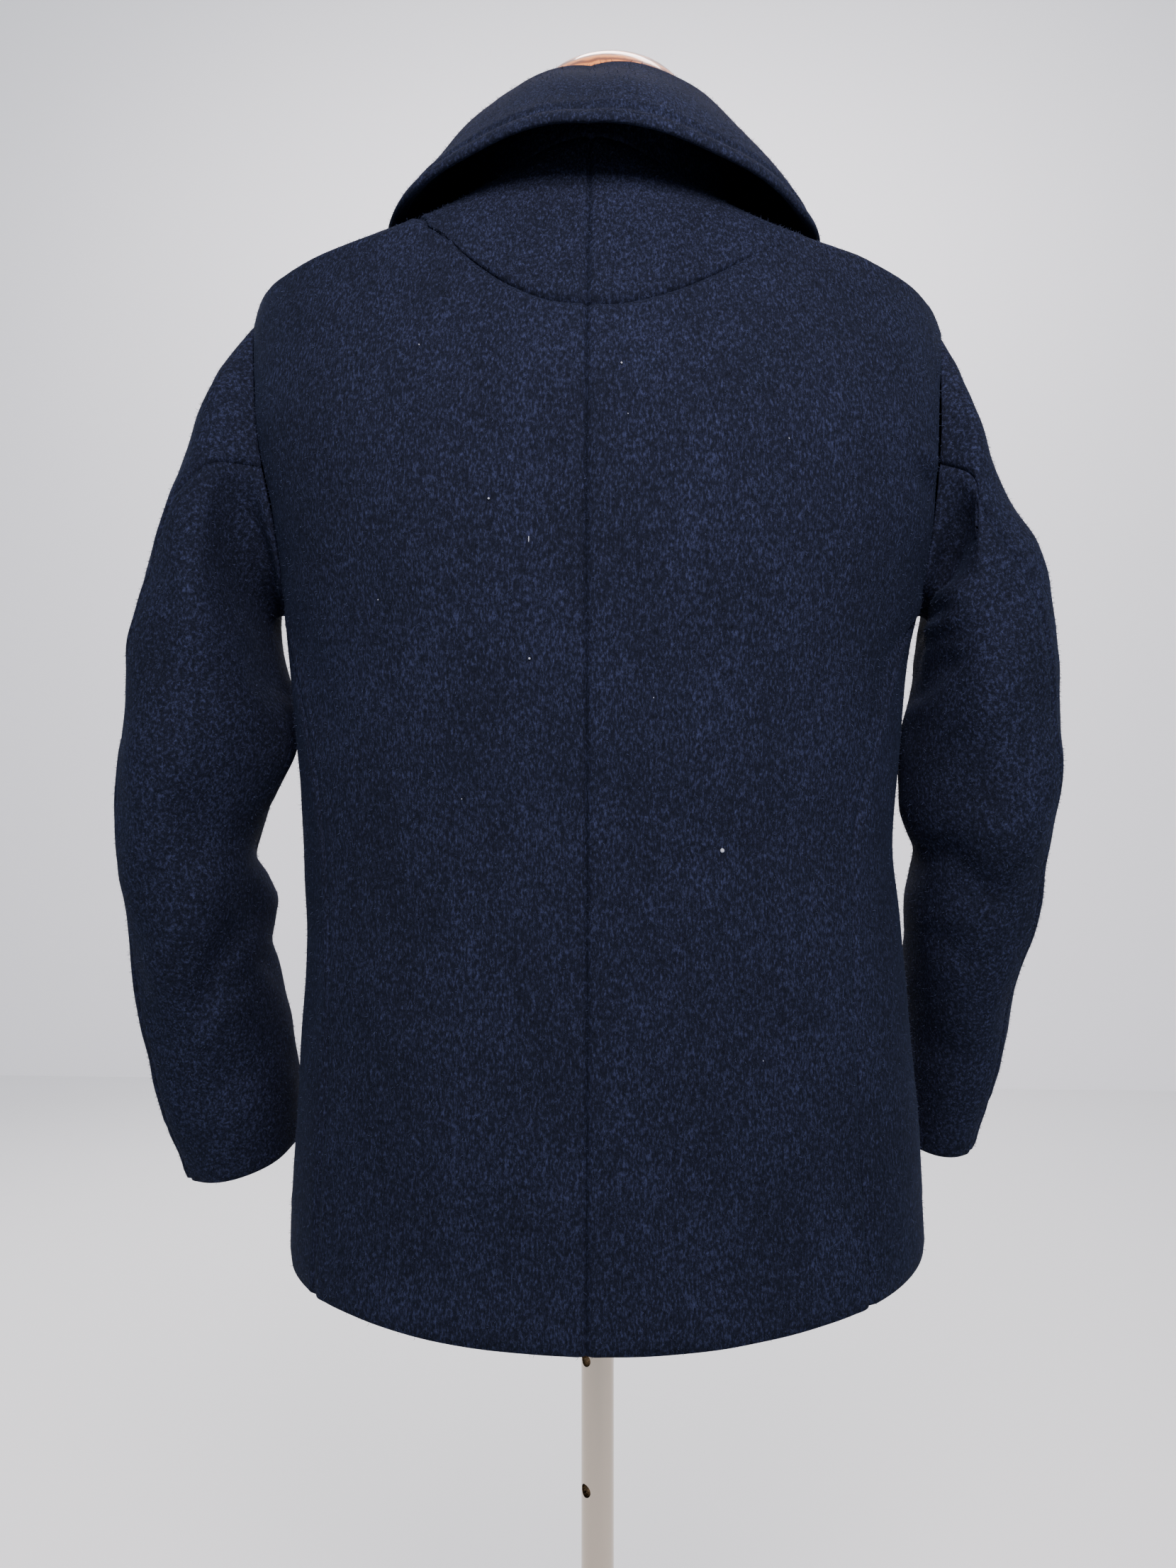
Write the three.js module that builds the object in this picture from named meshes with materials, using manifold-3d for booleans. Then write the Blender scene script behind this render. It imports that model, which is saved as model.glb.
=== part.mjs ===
// A work jacket of heavy wool on a limbless dress form.
// Millimetres, +Z up, the origin on the floor under the pole. The jacket's front faces -Y and its left side is at +X.
import * as THREE from "three";
import { mergeVertices } from "three/addons/utils/BufferGeometryUtils.js";
import Module from "manifold-3d";

const wasm = await Module();
wasm.setup();

const CLOTH = 3; // wall of the wool cloth
const COLLAR_CLOTH = 5; // two layers of it
const GAP = 0.3; // between pieces that are sewn together or rest on each other
const ARMHOLE_SEAM = 0.4;
const YOKE_SEAM = 0.8;
const COLLAR_SEAM = 1; // the collar's base off the neck edge
const FALL_CLEAR = 1.5; // the collar's fall off the shoulders
const LAP = CLOTH / 2 + GAP / 2; // each front's step where the two overlap
const DEG = Math.PI / 180;

// Closed loops round the body. Each is named by its height at the centre back.
// left, right: half width on the wearer's side; back, front: y at the centre back and the centre front;
// mid: y of the side line; sideLeft, sideRight, zFront: height at each side and at the centre front;
// square: 2 is an ellipse, more is squarer.
const BODY_COLUMNS = [
  "h", "left", "right", "back", "front", "mid", "sideLeft", "sideRight", "zFront", "square",
];
const BODY = [
  [700, 203, 213, 143, -146, 0, 712, 722, 700, 2.3],
  [760, 200, 210, 141, -144, 0, 767, 773, 760, 2.33],
  [840, 195, 205, 139, -141, 0, 842, 844, 840, 2.35],
  [920, 192, 198, 138, -139, 0, 920, 920, 919, 2.35],
  [985, 194, 192, 139, -139, 0, 985, 984, 982, 2.35],
  [1050, 197, 196.5, 143, -143, 0, 1049, 1048, 1043, 2.35],
  [1110, 202, 203, 147, -147, 0, 1107, 1106, 1097, 2.35],
  [1145, 206, 211, 149, -148, 0, 1141, 1139, 1128, 2.35],
  [1181, 213, 220, 149, -145, 0, 1176, 1173, 1159, 2.35],
  [1235, 225, 227, 145, -134, 0, 1227, 1222, 1204, 2.35],
  [1290, 229, 226, 131, -114, 0, 1279, 1268, 1248, 2.35],
  [1345, 226, 219, 112, -92, 0, 1328, 1312, 1288, 2.3],
  [1351, 212, 205, 110, -89, 1, 1331, 1315, 1292, 2.28],
  [1372.5, 157, 153, 101, -77, 6, 1341, 1330, 1308, 2.2],
  [1400, 88, 86, 90, -62, 12, 1360, 1354, 1326, 2.1],
];
const HEM = 700;
const NECK = 1400;
const SHOULDER_POINT = 1345;

// The side seam, set well round to the back: angle from the centre back at each height.
const SIDE_SEAM_COLUMNS = ["h", "left", "right"];
const SIDE_SEAM = [
  [700, 51.5, 46.5],
  [800, 51, 46],
  [900, 51, 46.5],
  [985, 53, 50],
  [1050, 58, 57],
  [1110, 68, 67],
  [1136, 80.3, 80.3],
];

// The armhole: turn is 0 at the shoulder point, 90 at the back, 180 under the arm, 270 at the front.
const ARMHOLE_COLUMNS = ["turn", "angle", "h"];
const ARMHOLE = [
  [0, 90, 1345],
  [30, 75, 1326],
  [60, 66.5, 1282],
  [90, 64, 1235],
  [120, 66.5, 1186],
  [145, 72.5, 1147],
  [165, 80.3, 1136],
  [185, 89, 1132],
  [212, 102, 1144],
  [240, 113, 1175],
  [270, 118, 1218],
  [300, 116, 1264],
  [330, 106, 1316],
  [360, 90, 1345],
];
const SIDE_SEAM_TURN = 165;
const HINDARM_TURN = 100;
const FOREARM_TURN = 285;

// The yoke's half-moon seam, from the centre back to the shoulder seam, a little lower on the right.
const MOON_COLUMNS = ["share", "angle", "h"];
const MOON_LEFT = [
  [0, 0, 1284],
  [0.15, 5.5, 1288],
  [0.3, 11, 1299],
  [0.45, 16.5, 1317],
  [0.6, 23, 1343],
  [0.75, 36, 1367],
  [0.88, 60, 1381],
  [1, 90, 1388],
];
const MOON_RIGHT = [
  [0, 0, 1284],
  [0.15, 5.5, 1285],
  [0.3, 11.5, 1292],
  [0.45, 18, 1306],
  [0.6, 26, 1328],
  [0.75, 40, 1357],
  [0.88, 62, 1378],
  [1, 90, 1388],
];
const MOON_LOW = MOON_LEFT[0][2];
const MOON_TOP = MOON_LEFT.at(-1)[2];

// Sections of each sleeve, by distance down it. The armhole is the section at 0.
// outX, outZ and inX, inZ: the outer and inner ends of the section seen from behind (x away from the middle);
// midY: its centre front to back; deep: half its size front to back; drop: how far its back edge hangs;
// pinch: how its inner half narrows toward the body, 2 for none.
const SLEEVE_COLUMNS = ["down", "outX", "outZ", "inX", "inZ", "midY", "deep", "drop", "pinch"];
const SLEEVE_LEFT = [
  [38, 244, 1294, 214, 1121, 6, 73, 4, 1.4],
  [95, 263, 1239, 212, 1088, 12, 76, 6, 1.35],
  [160, 286, 1176, 199, 1046, 17, 76, 6, 1.4],
  [230, 301, 1106, 214, 1006, 18, 74, 5, 1.6],
  [300, 309, 1036, 230, 970, 15, 71, 3, 1.9],
  [385, 313, 954, 224, 924, 6, 67, 2, 2.15],
  [465, 311, 876, 220, 866, -8, 62, 4, 2.15],
  [545, 303, 800, 213, 810, -24, 56, 6, 2.15],
  [600, 290, 750, 216, 761, -36, 52, 8, 2.15],
];
const SLEEVE_RIGHT = [
  [38, 231, 1281, 219, 1119, 6, 72, 4, 1.4],
  [95, 246, 1229, 208, 1086, 12, 75, 6, 1.35],
  [160, 277, 1168, 198, 1044, 16, 75, 6, 1.4],
  [230, 291, 1102, 196, 1000, 14, 74, 5, 1.6],
  [300, 296, 1036, 208, 968, 6, 71, 3, 1.9],
  [385, 293, 960, 208, 922, -12, 66, 2, 2.15],
  [465, 284, 888, 212, 868, -36, 62, 4, 2.15],
  [545, 273, 818, 213, 810, -60, 59, 6, 2.15],
  [592, 264, 769, 212, 769, -76, 56, 8, 2.15],
];
const SLEEVE_SQUARE = 2.15;

// The sleeve's two seams: turn of the hindarm and the forearm seam down the sleeve.
const SLEEVE_SEAM_COLUMNS = ["down", "hindLeft", "hindRight", "fore"];
const SLEEVE_SEAM = [
  [0, 100, 100, 285],
  [50, 78, 84, 290],
  [110, 52, 66, 296],
  [200, 40, 52, 300],
  [330, 40, 48, 302],
  [460, 44, 48, 302],
  [600, 48, 50, 302],
];

// The collar at angles from the centre back: how high its stand rises, how far in the roll leans on each
// side, how far out and down from the neck seam the fall's edge is, and how much the fall is bowed.
const COLLAR_COLUMNS = [
  "angle", "stand", "leanLeft", "leanRight", "outLeft", "outRight", "downLeft", "downRight", "bow",
];
const COLLAR = [
  [0, 45, 14, 14, 50, 50, 19, 19, 3],
  [30, 52, 13, 4, 49, 54, 14, 15, 3],
  [45, 57, 11, 0, 51, 60, 11, 13, 2],
  [60, 56, 11, -4, 50, 63, 4, 13, 1],
  [75, 53, 10, -4, 48, 59, -1, 5, 2],
  [90, 48, 10, 2, 47, 57, 6, 8, 5],
  [120, 41, 13, 9, 40, 46, 50, 50, 8],
  [150, 36, 11, 11, 37, 37, 70, 70, 5],
  [170, 34, 10, 10, 36, 36, 80, 80, 4],
];

// The form's torso: how much narrower and shallower than the jacket's inside it is at each loop.
const TORSO_COLUMNS = ["h", "narrow", "shallow"];
const TORSO = [
  [762, 0.2, 0.16],
  [840, 0.18, 0.14],
  [985, 0.22, 0.18],
  [1110, 0.13, 0.1],
  [1235, 0.135, 0.04],
  [1300, 0.13, 0.01],
  [1345, 0.11, 0],
  [1355.75, 0.035, 0],
  [1366.5, 0, 0],
  [1388, 0, 0],
];
const NECK_AXIS = { x: -9, y: 15 };
const NECK_RADIUS = 50;
const NECK_TOP = 1439;
const CAP_RADIUS = 53;
const CAP_RIM = 15;
const CAP_TOP = 1484;
const POLE_RADIUS = 11;
const POLE_TOP = 800;
const POLE_HOLE_RADIUS = 4.4;
const POLE_HOLE_PITCH = 87;
const POLE_HOLE_TOP = 719;
const POLE_HOLES = 4;
const POLE_HOLE_TURN = 46;
const BASE_RADIUS = 155;
const BASE_HEIGHT = 9;

// The value of every column of a table at a place in its first column, on a smooth curve.
function lookUp(columns, table, at) {
  const key = Math.min(Math.max(at, table[0][0]), table.at(-1)[0]);
  let k = 0;
  while (k < table.length - 2 && key > table[k + 1][0]) k += 1;
  const found = {};
  columns.forEach((name, c) => {
    found[name] = hermite(table, k, c, key);
  });
  return found;
}

// A cubic between rows k and k + 1 whose slopes come from the neighbouring rows.
function hermite(table, k, c, key) {
  const slope = (i) => {
    const a = table[Math.max(i - 1, 0)];
    const b = table[Math.min(i + 1, table.length - 1)];
    return (b[c] - a[c]) / (b[0] - a[0]);
  };
  const [p, q] = [table[k], table[k + 1]];
  const span = q[0] - p[0];
  const s = (key - p[0]) / span;
  const a = 2 * s ** 3 - 3 * s ** 2 + 1;
  const b = s ** 3 - 2 * s ** 2 + s;
  const d = s ** 3 - s ** 2;
  return a * p[c] + b * span * slope(k) + (1 - a) * q[c] + d * span * slope(k + 1);
}

const smoothstep = (low, high, v) => {
  const s = Math.min(Math.max((v - low) / (high - low), 0), 1);
  return s * s * (3 - 2 * s);
};
const mix = (a, b, s) => a + (b - a) * s;
const sum = (a, b, scale = 1) => a.clone().addScaledVector(b, scale);

// The unit square-ellipse: radius in the direction of an angle.
function squareRadius(s, c, square) {
  return (Math.abs(s) ** square + Math.abs(c) ** square) ** (-1 / square);
}

// A point on the outside of the jacket's body. side is 1 for the wearer's left, -1 for the right.
function bodyPoint(side, h, angle) {
  const loop = lookUp(BODY_COLUMNS, BODY, h);
  const [s, c] = [Math.sin(angle * DEG), Math.cos(angle * DEG)];
  const r = squareRadius(s, c, loop.square);
  const onLeft = side * s >= 0;
  const half = onLeft ? loop.left : loop.right;
  const depth = c > 0 ? loop.back - loop.mid : loop.mid - loop.front;
  const zSide = onLeft ? loop.sideLeft : loop.sideRight;
  const zEnd = c > 0 ? loop.h : loop.zFront;
  const z = mix(zSide, zEnd, Math.abs(c) ** 2.5);
  return new THREE.Vector3(side * half * r * s, loop.mid + depth * r * c, z);
}

function bodyNormal(side, h, angle) {
  const high = Math.min(h + 1, NECK);
  const across = bodyPoint(side, h, angle + 0.5).sub(bodyPoint(side, h, angle - 0.5));
  const up = bodyPoint(side, high, angle).sub(bodyPoint(side, high - 2, angle));
  return up.cross(across).normalize().multiplyScalar(side);
}

// One place of a panel of the body. Round the front the left half steps out and the right half in, to overlap.
function bodyCell(side, h, angle) {
  const normal = bodyNormal(side, h, angle);
  const step = side * LAP * smoothstep(150, 168, angle);
  const outer = bodyPoint(side, h, angle).addScaledVector(normal, step);
  return { outer, normal, inner: sum(outer, normal, -CLOTH) };
}

// The place of the body's outside straight over or under a point near the neck.
function bodyUnder(side, point) {
  const place = (h) => {
    const loop = lookUp(BODY_COLUMNS, BODY, h);
    const y = point.y - loop.mid;
    const across = Math.abs(point.x) / (side > 0 ? loop.left : loop.right);
    const along = y / (y > 0 ? loop.back - loop.mid : loop.mid - loop.front);
    return {
      angle: Math.atan2(across, along) / DEG,
      reach: (across ** loop.square + Math.abs(along) ** loop.square) ** (1 / loop.square),
    };
  };
  let [low, high] = [1250, NECK];
  for (let k = 0; k < 24; k += 1) {
    const middle = (low + high) / 2;
    if (place(middle).reach > 1) high = middle;
    else low = middle;
  }
  return { h: low, angle: place(low).angle };
}

// The armhole seam at a turn, with the frame that the body's and the sleeve's cut ends share there.
function armholeEdge(side, turn) {
  const at = (t) => {
    const edge = lookUp(ARMHOLE_COLUMNS, ARMHOLE, ((t % 360) + 360) % 360);
    return bodyPoint(side, edge.h, edge.angle);
  };
  const edge = lookUp(ARMHOLE_COLUMNS, ARMHOLE, ((turn % 360) + 360) % 360);
  const point = at(turn);
  const normal = bodyNormal(side, edge.h, edge.angle);
  const along = at(turn + 1).sub(at(turn - 1)).normalize();
  const hole = normal.clone().cross(along).normalize();
  const centre = bodyPoint(side, 1238, 90);
  if (hole.dot(centre.sub(point)) < 0) hole.negate();
  const mitre = 2 - 3 * Math.cos(turn * DEG);
  const inward = normal.clone().multiplyScalar(-CLOTH).addScaledVector(hole, mitre);
  const outward = along.clone().cross(inward).normalize();
  if (outward.dot(hole) < 0) outward.negate();
  return { ...edge, point, inward, outward };
}

// A point on the outside of a sleeve, down it by a distance and round it by a turn.
function sleevePoint(side, down, turn) {
  const sections = side > 0 ? SLEEVE_LEFT : SLEEVE_RIGHT;
  const ring = (k) => {
    if (k === 0) return [0, ...armholeEdge(side, turn).point.toArray()];
    const [key, outX, outZ, inX, inZ, midY, deep, drop, pinch] = sections[k - 1];
    const [s, c] = [Math.sin(turn * DEG), Math.cos(turn * DEG)];
    const r = squareRadius(s, c, c < 0 ? pinch : SLEEVE_SQUARE);
    const x = (outX + inX) / 2 + ((outX - inX) / 2) * c * r;
    const z = (outZ + inZ) / 2 + ((outZ - inZ) / 2) * c * r - drop * s * r;
    return [key, side * x, midY + deep * s * r, z];
  };
  let k = 0;
  while (k < sections.length - 1 && down > sections[k][0]) k += 1;
  const near = [k - 1, k, k + 1, k + 2].map((i) => Math.min(Math.max(i, 0), sections.length));
  const rows = near.filter((v, i) => i === 0 || v !== near[i - 1]).map(ring);
  const first = k === 0 ? 0 : 1;
  return new THREE.Vector3(...[1, 2, 3].map((c) => hermite(rows, first, c, down)));
}

function sleeveNormal(side, down, turn) {
  const length = (side > 0 ? SLEEVE_LEFT : SLEEVE_RIGHT).at(-1)[0];
  const high = Math.min(down + 2, length);
  const along = sleevePoint(side, high, turn).sub(sleevePoint(side, high - 4, turn));
  const round = sleevePoint(side, down, turn + 1).sub(sleevePoint(side, down, turn - 1));
  return along.cross(round).normalize().multiplyScalar(side);
}

// One closed shell between two grids of points that share their rows and columns.
function wall(outer, inner) {
  const rows = outer.length;
  const cols = outer[0].length;
  const points = [...outer.flat(), ...inner.flat()];
  const at = (layer, i, j) => layer * rows * cols + i * cols + j;
  const faces = [];
  const quad = (a, b, c, d) => faces.push(a, b, c, a, c, d);
  for (let i = 0; i < rows - 1; i += 1) {
    for (let j = 0; j < cols - 1; j += 1) {
      quad(at(0, i, j), at(0, i, j + 1), at(0, i + 1, j + 1), at(0, i + 1, j));
      quad(at(1, i, j), at(1, i + 1, j), at(1, i + 1, j + 1), at(1, i, j + 1));
    }
    quad(at(0, i, 0), at(0, i + 1, 0), at(1, i + 1, 0), at(1, i, 0));
    quad(at(0, i, cols - 1), at(1, i, cols - 1), at(1, i + 1, cols - 1), at(0, i + 1, cols - 1));
  }
  for (let j = 0; j < cols - 1; j += 1) {
    quad(at(0, 0, j + 1), at(0, 0, j), at(1, 0, j), at(1, 0, j + 1));
    quad(at(0, rows - 1, j), at(0, rows - 1, j + 1), at(1, rows - 1, j + 1), at(1, rows - 1, j));
  }
  return closed(points, faces);
}

// A geometry from points and faces, turned to face out.
function closed(points, faces) {
  let volume = 0;
  for (let i = 0; i < faces.length; i += 3) {
    const [a, b, c] = faces.slice(i, i + 3).map((k) => points[k]);
    volume += a.dot(b.clone().cross(c));
  }
  const turned = volume < 0 ? faces.toReversed() : faces;
  const geometry = new THREE.BufferGeometry().setFromPoints(points);
  geometry.setIndex(turned);
  geometry.computeVertexNormals();
  return geometry;
}

// Pulls a grid back by half the gap from its seams. A seam lists its [row, column] places and, where both
// pieces are cut to a shared plane, the way off it at each place.
function openSeams(grid, seams) {
  const shifts = new Map();
  const outerAt = ([i, j]) => grid[i][j].outer;
  for (const { places, ways, gap = GAP } of seams) {
    places.forEach(([i, j], k) => {
      const cell = grid[i][j];
      const before = places[Math.max(k - 1, 0)];
      const after = places[Math.min(k + 1, places.length - 1)];
      const along = outerAt(after).clone().sub(outerAt(before)).normalize();
      const way = ways ? ways[k].clone() : cell.normal.clone().cross(along).normalize();
      const inside = [
        Math.min(Math.max(i, 1), grid.length - 2),
        Math.min(Math.max(j, 1), grid[0].length - 2),
      ];
      if (!ways && way.dot(outerAt(inside).clone().sub(cell.outer)) < 0) way.negate();
      shifts.set(cell, [...(shifts.get(cell) ?? []), { way, gap }]);
    });
  }
  for (const [cell, list] of shifts) {
    const total = list.reduce((a, { way, gap }) => sum(a, way, gap / 2), new THREE.Vector3());
    const share = list.length > 1 ? 1 + Math.max(list[0].way.dot(list[1].way), -0.5) : 1;
    cell.outer.addScaledVector(total, 1 / share);
    cell.inner.addScaledVector(total, 1 / share);
  }
}

const wallOf = (grid) =>
  wall(
    grid.map((row) => row.map((cell) => cell.outer)),
    grid.map((row) => row.map((cell) => cell.inner)),
  );
const steps = (from, to, count) =>
  Array.from({ length: count }, (_, k) => mix(from, to, (k + 1) / count));
const span = (from, to, pick) => Array.from({ length: to - from + 1 }, (_, k) => pick(from + k));

const SIDE_ROWS = 11;
const SHOULDER_ROWS = 4;
const YOKE_ROWS = 4;
const BACK_COLS = 10;
const FRONT_COLS = 12;
const LAP_COLS = 2; // of them, in the overlap
const BACK_TURNS = [...steps(SIDE_SEAM_TURN, HINDARM_TURN, 6), ...steps(HINDARM_TURN, 0, 8)];
const FRONT_TURNS = [...steps(SIDE_SEAM_TURN, FOREARM_TURN, 10), ...steps(FOREARM_TURN, 360, 7)];
const LAP_ANGLE = 8; // the fronts' free edges are this far past the centre front

const moonAt = (side, u) => lookUp(MOON_COLUMNS, side > 0 ? MOON_LEFT : MOON_RIGHT, u);

// The angle of a front's column j, in a row that starts at the given angle.
function frontAngle(from, j) {
  const inner = FRONT_COLS - LAP_COLS;
  return j <= inner ? mix(from, 180 - LAP_ANGLE, j / inner) : 180 + LAP_ANGLE * (j - inner - 1);
}

// The rows of a panel's side edge: up the side seam, round its part of the armhole, along the shoulder seam.
function sideEdge(side, turns, shoulderHeights) {
  const name = side > 0 ? "left" : "right";
  const top = SIDE_SEAM.at(-1)[0];
  const seam = [HEM, ...steps(HEM, top, SIDE_ROWS)].map((h) => ({
    h,
    angle: lookUp(SIDE_SEAM_COLUMNS, SIDE_SEAM, h)[name],
  }));
  const hole = turns.map((turn) => armholeEdge(side, turn));
  seam[SIDE_ROWS] = armholeEdge(side, SIDE_SEAM_TURN);
  return [...seam, ...hole, ...shoulderHeights.map((h) => ({ h, angle: 90 }))];
}

// Sets the cut ends of a panel's armhole rows to the shared mitre, and lists that seam.
function armholeSeam(grid, edge, last) {
  const rows = span(SIDE_ROWS, last, (i) => i);
  rows.forEach((i) => {
    grid[i][0].inner = sum(edge[i].point, edge[i].inward);
  });
  return {
    places: rows.map((i) => [i, 0]),
    ways: rows.map((i) => edge[i].outward.clone().negate()),
    gap: ARMHOLE_SEAM,
  };
}

function backPanel(side) {
  const holeEnd = SIDE_ROWS + BACK_TURNS.length;
  const edge = sideEdge(side, BACK_TURNS, steps(SHOULDER_POINT, MOON_TOP, SHOULDER_ROWS));
  const centre = [
    HEM,
    ...steps(HEM, 1105, SIDE_ROWS),
    ...steps(1105, 1262, BACK_TURNS.length),
    ...steps(1262, MOON_LOW, SHOULDER_ROWS),
  ];
  const grid = edge.map(({ h, angle }, i) =>
    span(0, BACK_COLS, (j) => {
      const u = 1 - j / BACK_COLS;
      const moon = moonAt(side, u);
      const rise = (moon.h - MOON_LOW) / (MOON_TOP - MOON_LOW);
      const near = Math.max((centre[i] - 1105) / (MOON_LOW - 1105), 0) ** 3;
      const share = mix(u ** 1.6, rise, near);
      return bodyCell(side, mix(centre[i], h, share), mix(angle * u, (moon.angle * angle) / 90, near));
    }),
  );
  openSeams(grid, [
    { places: span(0, SIDE_ROWS, (i) => [i, 0]) },
    armholeSeam(grid, edge, holeEnd),
    { places: span(holeEnd, edge.length - 1, (i) => [i, 0]) },
    { places: span(0, edge.length - 1, (i) => [i, BACK_COLS]) },
    { places: span(0, BACK_COLS, (j) => [edge.length - 1, j]), gap: YOKE_SEAM },
  ]);
  return wallOf(grid);
}

const neckAngle = (u) => mix(90 * u, lookUp(MOON_COLUMNS, MOON_LEFT, u).angle, 0.4);

function yokePanel(side) {
  const grid = [0, ...steps(0, 1, YOKE_ROWS)].map((v) =>
    span(0, BACK_COLS, (j) => {
      const u = 1 - j / BACK_COLS;
      const moon = moonAt(side, u);
      return bodyCell(side, mix(moon.h, NECK, v), mix(moon.angle, neckAngle(u), v));
    }),
  );
  openSeams(grid, [
    { places: span(0, BACK_COLS, (j) => [0, j]), gap: YOKE_SEAM },
    { places: span(0, YOKE_ROWS, (i) => [i, 0]) },
    { places: span(0, YOKE_ROWS, (i) => [i, BACK_COLS]) },
  ]);
  return wallOf(grid);
}

function frontPanel(side) {
  const holeEnd = SIDE_ROWS + FRONT_TURNS.length;
  const shoulder = [
    ...steps(SHOULDER_POINT, MOON_TOP, SHOULDER_ROWS),
    ...steps(MOON_TOP, NECK, YOKE_ROWS),
  ];
  const edge = sideEdge(side, FRONT_TURNS, shoulder);
  const free = [
    HEM,
    ...steps(HEM, 1050, SIDE_ROWS),
    ...steps(1050, SHOULDER_POINT, FRONT_TURNS.length),
    ...shoulder,
  ];
  const grid = edge.map(({ h, angle }, i) =>
    span(0, FRONT_COLS, (j) => {
      const u = Math.min(j / (FRONT_COLS - LAP_COLS), 1);
      return bodyCell(side, mix(h, free[i], 1 - (1 - u) ** 1.5), frontAngle(angle, j));
    }),
  );
  openSeams(grid, [
    { places: span(0, SIDE_ROWS, (i) => [i, 0]) },
    armholeSeam(grid, edge, holeEnd),
    { places: span(holeEnd, edge.length - 1, (i) => [i, 0]) },
  ]);
  return wallOf(grid.toReversed()); // so that its cut ends split like the sleeve's
}

const SLEEVE_DOWN = [
  0, 12, 26, 42, 60, 82, 108, 138, 172, 210, 250, 295, 340, 385, 430, 475, 520, 562, 600,
];

// Half of a two-piece sleeve, from one seam round to the other. turns are its places round the armhole.
function sleeveHalf(side, turns, seamTurns) {
  const length = (side > 0 ? SLEEVE_LEFT : SLEEVE_RIGHT).at(-1)[0];
  const [first, last] = [turns[0], turns.at(-1)];
  const grid = SLEEVE_DOWN.map((d) => {
    const down = (d * length) / SLEEVE_DOWN.at(-1);
    const [from, to] = seamTurns(lookUp(SLEEVE_SEAM_COLUMNS, SLEEVE_SEAM, down));
    return turns.map((turn) => {
      const here = mix(from, to, (turn - first) / (last - first));
      const outer = sleevePoint(side, down, here);
      const normal = sleeveNormal(side, down, here);
      return { outer, normal, inner: sum(outer, normal, -CLOTH) };
    });
  });
  const hole = turns.map((turn) => armholeEdge(side, turn));
  hole.forEach(({ point, inward }, j) => {
    grid[0][j].inner = sum(point, inward);
  });
  openSeams(grid, [
    { places: turns.map((_, j) => [0, j]), ways: hole.map((end) => end.outward), gap: ARMHOLE_SEAM },
    { places: grid.map((_, i) => [i, 0]) },
    { places: grid.map((_, i) => [i, turns.length - 1]) },
  ]);
  return wallOf(grid);
}

const overArm = [
  FOREARM_TURN - 360,
  ...FRONT_TURNS.filter((t) => t > FOREARM_TURN).map((t) => t - 360),
  ...BACK_TURNS.filter((t) => t > 0 && t <= HINDARM_TURN).toReversed(),
];
const underArm = [
  ...BACK_TURNS.filter((t) => t >= HINDARM_TURN).toReversed(),
  SIDE_SEAM_TURN,
  ...FRONT_TURNS.filter((t) => t <= FOREARM_TURN),
];

// A section of the collar: the cut base of its stand, then the middle of its cloth up, over the roll and down.
function collarSection(side, angle) {
  const row = lookUp(COLLAR_COLUMNS, COLLAR, angle);
  const lean = side > 0 ? row.leanLeft : row.leanRight;
  const reach = side > 0 ? row.outLeft : row.outRight;
  const down = side > 0 ? row.downLeft : row.downRight;
  const neck = bodyCell(side, NECK, angle);
  const toward = bodyCell(side, NECK, angle + 1).outer.sub(bodyCell(side, NECK, angle - 1).outer);
  const up = new THREE.Vector3(0, 0, 1);
  const out = new THREE.Vector3(toward.y, -toward.x, 0).normalize();
  if (out.dot(neck.outer) < 0) out.negate();
  const rise = toward.normalize().cross(neck.normal).normalize();
  if (rise.dot(sum(up, out, -1)) < 0) rise.negate();
  const place = (o, u) => neck.outer.clone().addScaledVector(out, o).addScaledVector(up, u);
  const rest = (point) => {
    const under = bodyUnder(side, point);
    const normal = bodyNormal(side, under.h, under.angle);
    const clear = COLLAR_CLOTH / 2 + FALL_CLEAR + LAP * smoothstep(150, 168, angle);
    const low = bodyPoint(side, under.h, under.angle).z + clear / normal.z;
    return point.setZ(Math.max(point.z, low));
  };
  const edge = rest(place(reach, -down));
  const near = place(-lean + 16, row.stand - 9);
  const half = near.clone().add(edge).multiplyScalar(0.5);
  const bowed = rest(half.addScaledVector(sum(up, out), row.bow * 0.7));
  const path = [
    neck.outer.clone().addScaledVector(rise, COLLAR_SEAM).addScaledVector(neck.normal, -COLLAR_CLOTH / 2),
    place(-COLLAR_CLOTH / 2 - 0.5 * lean, 0.45 * row.stand),
    place(-lean - COLLAR_CLOTH / 2, row.stand - 11),
    place(-lean + 5.5, row.stand - 1),
    near,
    bowed,
    edge,
  ];
  return { path, neck, rise };
}

const COLLAR_ROWS = [0, 0.6, 1.3, 2, 2.5, 3, 3.5, 4, 4.6, 5.3, 6];

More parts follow.
